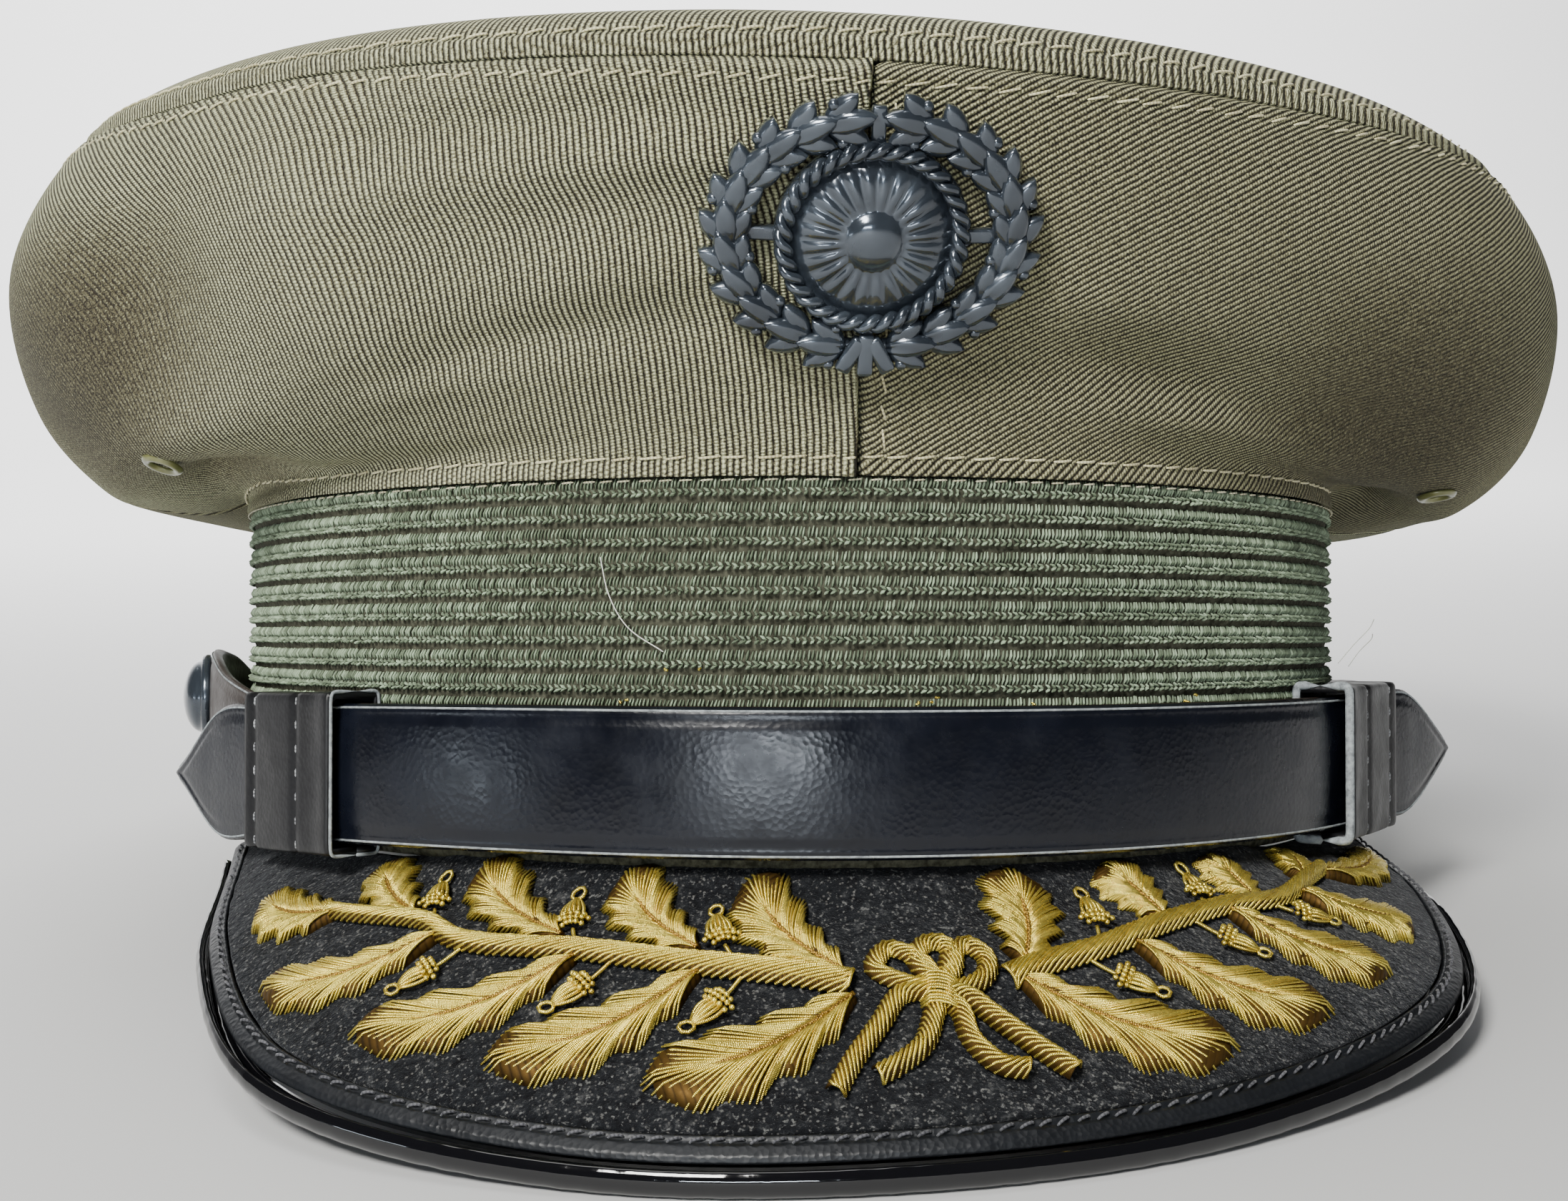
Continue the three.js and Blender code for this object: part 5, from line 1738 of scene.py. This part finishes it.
def wreath_leaf(bm, place, turn, length):
    """One pointed leaf with a folded vein, laid at a place of the badge's face."""
    new = bmesh.ops.create_grid(bm, x_segments=8, y_segments=6, size=0.5)["verts"]
    for vertex in new:
        u, v = vertex.co.x + 0.5, vertex.co.y * 2
        half = WREATH_LEAF_WIDTH / 2 * math.sin(math.pi * min(u * 0.93 + 0.07, 1)) ** 0.75
        rise = 0.9 * (1 - v * v) * math.sin(math.pi * u) ** 0.6 - 0.55 * math.exp(-(v / 0.2) ** 2) * (1 - u)
        vertex.co = Vector(((u - 0.08) * length, v * half, rise + 0.35 + u * WREATH_LEAF_TILT))
    edge = bmesh.ops.extrude_face_region(bm, geom=list({f for v in new for f in v.link_faces}))
    low = [item for item in edge["geom"] if isinstance(item, bmesh.types.BMVert)]
    for vertex in low:
        vertex.co.z = -0.1
    matrix = Matrix.Translation(place) @ Matrix.Rotation(turn, 4, "Z")
    bmesh.ops.transform(bm, matrix=matrix, verts=new + low)


def bevelled_block(bm, place, size, bevel):
    new = bmesh.ops.create_cube(bm, size=1.0, matrix=place @ Matrix.Diagonal((*size, 1)))["verts"]
    edges = list({e for v in new for e in v.link_edges})
    bmesh.ops.bevel(bm, geom=edges, offset=bevel, affect="EDGES", segments=2, profile=0.5, material=-1)


def badge():
    bm = bmesh.new()
    ring_x, ring_y = BADGE_HALF_WIDTH - WREATH_INSET, BADGE_HALF_HEIGHT - WREATH_INSET
    for side in (-1, 1):
        for k in range(WREATH_LEAVES):
            a = math.radians(WREATH_START + WREATH_SWEEP * k / (WREATH_LEAVES - 1))
            place = Vector((side * ring_x * math.cos(a), ring_y * math.sin(a), 1.0))
            course = math.atan2(ring_y * math.cos(a), -side * ring_x * math.sin(a))
            for lean, length, lift in WREATH_TUFT:
                wreath_leaf(bm, place + Vector((0, 0, lift)), course + lean * side, length)
            for turn in (course - BERRY_LEAN, course + BERRY_LEAN) if k % 2 == 0 else ():
                spot = place + Vector((BERRY_AWAY * math.cos(turn), BERRY_AWAY * math.sin(turn), 0.7))
                bmesh.ops.create_uvsphere(bm, u_segments=10, v_segments=6, radius=BERRY_RADIUS,
                                          matrix=Matrix.Translation(spot))
    ring = lathe([(STALK_ROUND * math.cos(t) + 1, STALK_ROUND * math.sin(t))
                  for t in np.linspace(0, 2 * math.pi, 9)], 64)
    for vertex in ring.verts:
        reach = math.hypot(vertex.co.x, vertex.co.y)
        away = (reach - 1) * 1.4
        x, y = vertex.co.x / reach, vertex.co.y / reach
        vertex.co = Vector((x * (ring_x + away), y * (ring_y + away), vertex.co.z + 0.8))
    add_copy(bm, ring)
    add_copy(bm, boss())
    for spoke in range(4):
        turn = Matrix.Rotation(math.radians(90 * spoke), 4, "Z")
        bevelled_block(bm, turn @ Matrix.Translation((12.5, 0, 0.75)), (5.0, 1.7, 1.4), 0.3)
    tie(bm)
    bend_badge(bm)
    piece("cap_badge_cast", to_mesh("cap_badge_cast", bm), CAST, "cap_badge")


def add_copy(bm, other):
    mesh = bpy.data.meshes.new("part_of_badge")
    other.to_mesh(mesh)
    other.free()
    bm.from_mesh(mesh)
    bpy.data.meshes.remove(mesh)


def boss():
    """The rayed disc: a rope rim, a hollow ring, fluted rays and a plain dome."""
    bm = lathe(BOSS_PROFILE, 144)
    for vertex in bm.verts:
        reach = math.hypot(vertex.co.x, vertex.co.y)
        turn = math.atan2(vertex.co.y, vertex.co.x)
        if RAYS_FROM < reach < RAYS_TO and vertex.co.z > 1:
            vertex.co.z += RAY_RISE * abs(math.sin(BOSS_RAYS / 2 * turn)) - 0.25
    path = np.linspace(0, 2 * math.pi, ROPE_TURNS * 8, endpoint=False)
    for phase in (0.0, math.pi):
        coil = ROPE_TURNS / 2 * path + phase
        reach = ROPE_REACH + ROPE_COIL * np.cos(coil)
        height = ROPE_LIFT + ROPE_COIL * np.sin(coil)
        ring = np.stack([reach * np.cos(path), reach * np.sin(path), height], axis=-1)
        coil_round(bm, ring, ROPE_RADIUS)
    return bm


def coil_round(bm, ring, radius):
    """A closed round tube through a ring of places."""
    bars = 7
    ahead = unit(np.roll(ring, -1, axis=0) - np.roll(ring, 1, axis=0))
    side = unit(np.cross(ahead, np.array([0.0, 0.0, 1.0])))
    up = np.cross(side, ahead)
    circles = []
    for spot, s, u in zip(ring, side, up):
        new = bmesh.ops.create_circle(bm, segments=bars, radius=radius)["verts"]
        for vertex in new:
            vertex.co = Vector(spot + s * vertex.co.x + u * vertex.co.y)
        circles.append(new)
    for one, other in zip(circles, circles[1:] + circles[:1]):
        for k in range(bars):
            bm.faces.new((one[k], one[(k + 1) % bars], other[(k + 1) % bars], other[k]))


def tie(bm):
    """The small ribbon that ties the wreath's two stems at the bottom."""
    low = -(BADGE_HALF_HEIGHT - 3.4)
    for lean in (-0.5, 0.0, 0.5):
        turn = Matrix.Rotation(lean, 4, "Z")
        place = Matrix.Translation((lean * 3.4, low, 1.9)) @ turn
        bevelled_block(bm, place, (1.9, 5.2 - abs(lean), 1.5), 0.45)


def bend_badge(bm):
    """Lays the badge on the crown, bent a little to its curve."""
    out = Vector(crown_normal(BADGE_TURN, BADGE_LEVEL))
    right = Vector((0, 0, 1)).cross(out).normalized()
    if right.x < 0:
        right.negate()
    up = out.cross(right).normalized()
    if up.z < 0:
        up.negate()
    seat = Vector(crown_surface(BADGE_TURN, BADGE_LEVEL, BADGE_SEAT))
    bmesh.ops.recalc_face_normals(bm, faces=bm.faces)
    for vertex in bm.verts:
        x, y, z = vertex.co
        sunk = z - x * x / (2 * BADGE_BEND)
        vertex.co = seat + right * x + up * y + out * sunk


# Buttons and eyelets
BUTTON_RADIUS = 6.7
BUTTON_RISE = 4.4
BUTTON_RIM = [
    # inset from the edge, height
    (0.6, 0),
    (0.1, 0.2),
    (0, 0.7),
    (0.1, 1.25),
    (0.5, 1.5),
    (0.7, 1.45),
    (0.95, 1.6),
]
DOME_INSET = 1.0
DOME_FOOT = 1.5
BUTTONS = [
    # name, around, height
    ("button_left", -83.6, 19.0),
    ("button_right", 83.6, 12.6),
]
EYELET_HOLE = 1.5
EYELET_ROUND = 0.75
EYELET_LIFT = 0.05
EYELETS = [
    # name, around, level
    ("eyelet_left", -63.5, 3.32),
    ("eyelet_right", 62.5, 3.26),
]


def button(name, around, height):
    away = float(smooth(BACK_STRAP, around, 1)) + STRAP_BACK_WALL + GAP
    profile = [(0, 0)] + [(BUTTON_RADIUS - inset, rise) for inset, rise in BUTTON_RIM]
    for turn in np.radians(np.linspace(12, 84, 9)):
        profile.append(((BUTTON_RADIUS - DOME_INSET) * math.cos(turn),
                        DOME_FOOT + (BUTTON_RISE - DOME_FOOT) * math.sin(turn)))
    bm = lathe(profile + [(0, BUTTON_RISE)], 48)
    base = beside(around, away, height)
    out = beside(around, away + 1, height) - base
    bmesh.ops.transform(bm, matrix=seat_matrix(base, out), verts=bm.verts)
    piece(name + "_dome", to_mesh(name, bm), CAST, name)


def eyelet(name, around, level):
    profile = [(EYELET_HOLE + EYELET_ROUND * (1 - math.cos(t)), EYELET_LIFT + EYELET_ROUND * math.sin(t))
               for t in np.linspace(0, math.pi, 9)]
    bm = lathe(profile + profile[:1], 40)
    base = crown_surface(around, level, EYELET_LIFT)
    bmesh.ops.transform(bm, matrix=seat_matrix(base, crown_normal(around, level)), verts=bm.verts)
    piece(name + "_ring", to_mesh(name, bm), ENAMEL, name)


# Camera, at the photograph's angle to the cap and above the floor
CAMERA_AWAY = 348.0
CAMERA_HEIGHT = 28.5
CAMERA_TURN = 7.5
CAMERA_PITCH = 1.0
FOCAL_PIXELS = 2850
PICTURE_WIDTH = 2194
SENSOR_WIDTH = 36.0
FLOOR_HALF_WIDTH = 4.0
FLOOR_FRONT = -3.0
FLOOR_FLAT = 4.2
FLOOR_BEND = 1.0
FLOOR_RUN = 8.0
LIGHTS = [
    # name, from (x, y, z), aimed at (x, y, z) in metres, width, height, watts, colour
    ("key_light", (-0.42, -0.76, 0.72), (0, 0, 0.06), 0.26, 0.26, 15.0, (1.0, 0.99, 0.95)),
    ("front_light", (-0.30, -1.06, 0.15), (0, 0, 0.03), 0.36, 0.05, 2.8, (0.84, 0.92, 1.0)),
    ("peak_light", (-0.26, -0.60, 0.42), (0, -0.125, 0.02), 0.10, 0.10, 1.0, (1.0, 0.98, 0.94)),
    ("side_light", (-1.05, -0.42, 0.06), (0, 0, 0.03), 0.30, 0.04, 0.45, (0.80, 0.90, 1.0)),
    ("top_light", (-0.15, 0.05, 1.1), (0, 0, 0.06), 0.60, 0.60, 4.5, (1.0, 1.0, 1.0)),
    ("backdrop_light", (0.0, 0.75, 1.3), (0, 2.2, 0.3), 2.0, 0.5, 110.0, (1.0, 1.0, 1.0)),
]
WORLD_STRENGTH = 0.06


def make_camera():
    turn, pitch = math.radians(CAMERA_TURN), math.radians(CAMERA_PITCH)
    place = Vector((-CAMERA_AWAY * math.sin(turn), -CAMERA_AWAY * math.cos(turn), CAMERA_HEIGHT))
    ahead = Vector((math.sin(turn) * math.cos(pitch), math.cos(turn) * math.cos(pitch), math.sin(pitch)))
    right = ahead.cross(Vector((0, 0, 1))).normalized()
    up = right.cross(ahead)
    spin = TO_WORLD.to_3x3() * (1 / MM)
    basis = Matrix((spin @ right, spin @ up, spin @ -ahead)).transposed()
    data = bpy.data.cameras.new("camera")
    data.sensor_fit = "HORIZONTAL"
    data.sensor_width = SENSOR_WIDTH
    data.lens = SENSOR_WIDTH * FOCAL_PIXELS / PICTURE_WIDTH
    data.clip_start = 0.01
    camera = bpy.data.objects.new("camera", data)
    camera.matrix_world = Matrix.Translation(TO_WORLD @ place) @ basis.to_4x4()
    bpy.context.scene.collection.objects.link(camera)
    bpy.context.scene.camera = camera


def make_floor():
    """A pale floor that sweeps up into a backdrop behind the cap."""
    bm = bmesh.new()
    bmesh.ops.create_grid(bm, x_segments=1, y_segments=40, size=1.0)
    for vertex in bm.verts:
        run = (vertex.co.y + 1) / 2 * FLOOR_RUN
        bend = min(max((run - FLOOR_FLAT) / FLOOR_BEND, 0), 1) * math.pi / 2
        rise = max(run - FLOOR_FLAT - FLOOR_BEND, 0)
        radius = FLOOR_BEND / (math.pi / 2)
        vertex.co = Vector((vertex.co.x * FLOOR_HALF_WIDTH,
                            FLOOR_FRONT + min(run, FLOOR_FLAT) + radius * math.sin(bend),
                            radius * (1 - math.cos(bend)) + rise))
    mesh = bpy.data.meshes.new("floor")
    bm.to_mesh(mesh)
    bm.free()
    shade_smooth(mesh)
    floor = bpy.data.objects.new("floor", mesh)
    mesh.materials.append(Finish("floor_paper", color=(0.62, 0.62, 0.62, 1), rough=0.8).material)
    bpy.context.scene.collection.objects.link(floor)


def make_lights():
    for name, place, aim, width, height, watts, color in LIGHTS:
        data = bpy.data.lights.new(name, "AREA")
        data.shape = "RECTANGLE"
        data.size = width
        data.size_y = height
        data.energy = watts
        data.color = color
        light = bpy.data.objects.new(name, data)
        light.location = place
        light.rotation_euler = (Vector(aim) - Vector(place)).to_track_quat("-Z", "Y").to_euler()
        bpy.context.scene.collection.objects.link(light)
    world = bpy.data.worlds.new("studio")
    world.use_nodes = True
    world.node_tree.nodes["Background"].inputs["Color"].default_value = (1, 1, 1, 1)
    world.node_tree.nodes["Background"].inputs["Strength"].default_value = WORLD_STRENGTH
    bpy.context.scene.world = world


# Making it all
quarters()
crown_top()
crown_stitches()
band_ground()
band_braid()
selvedge()
peak_pieces()
strap_pieces()
embroidery()
stray_fibres()
badge()
for row in BUTTONS:
    button(*row)
for row in EYELETS:
    eyelet(*row)
make_camera()
make_floor()
make_lights()
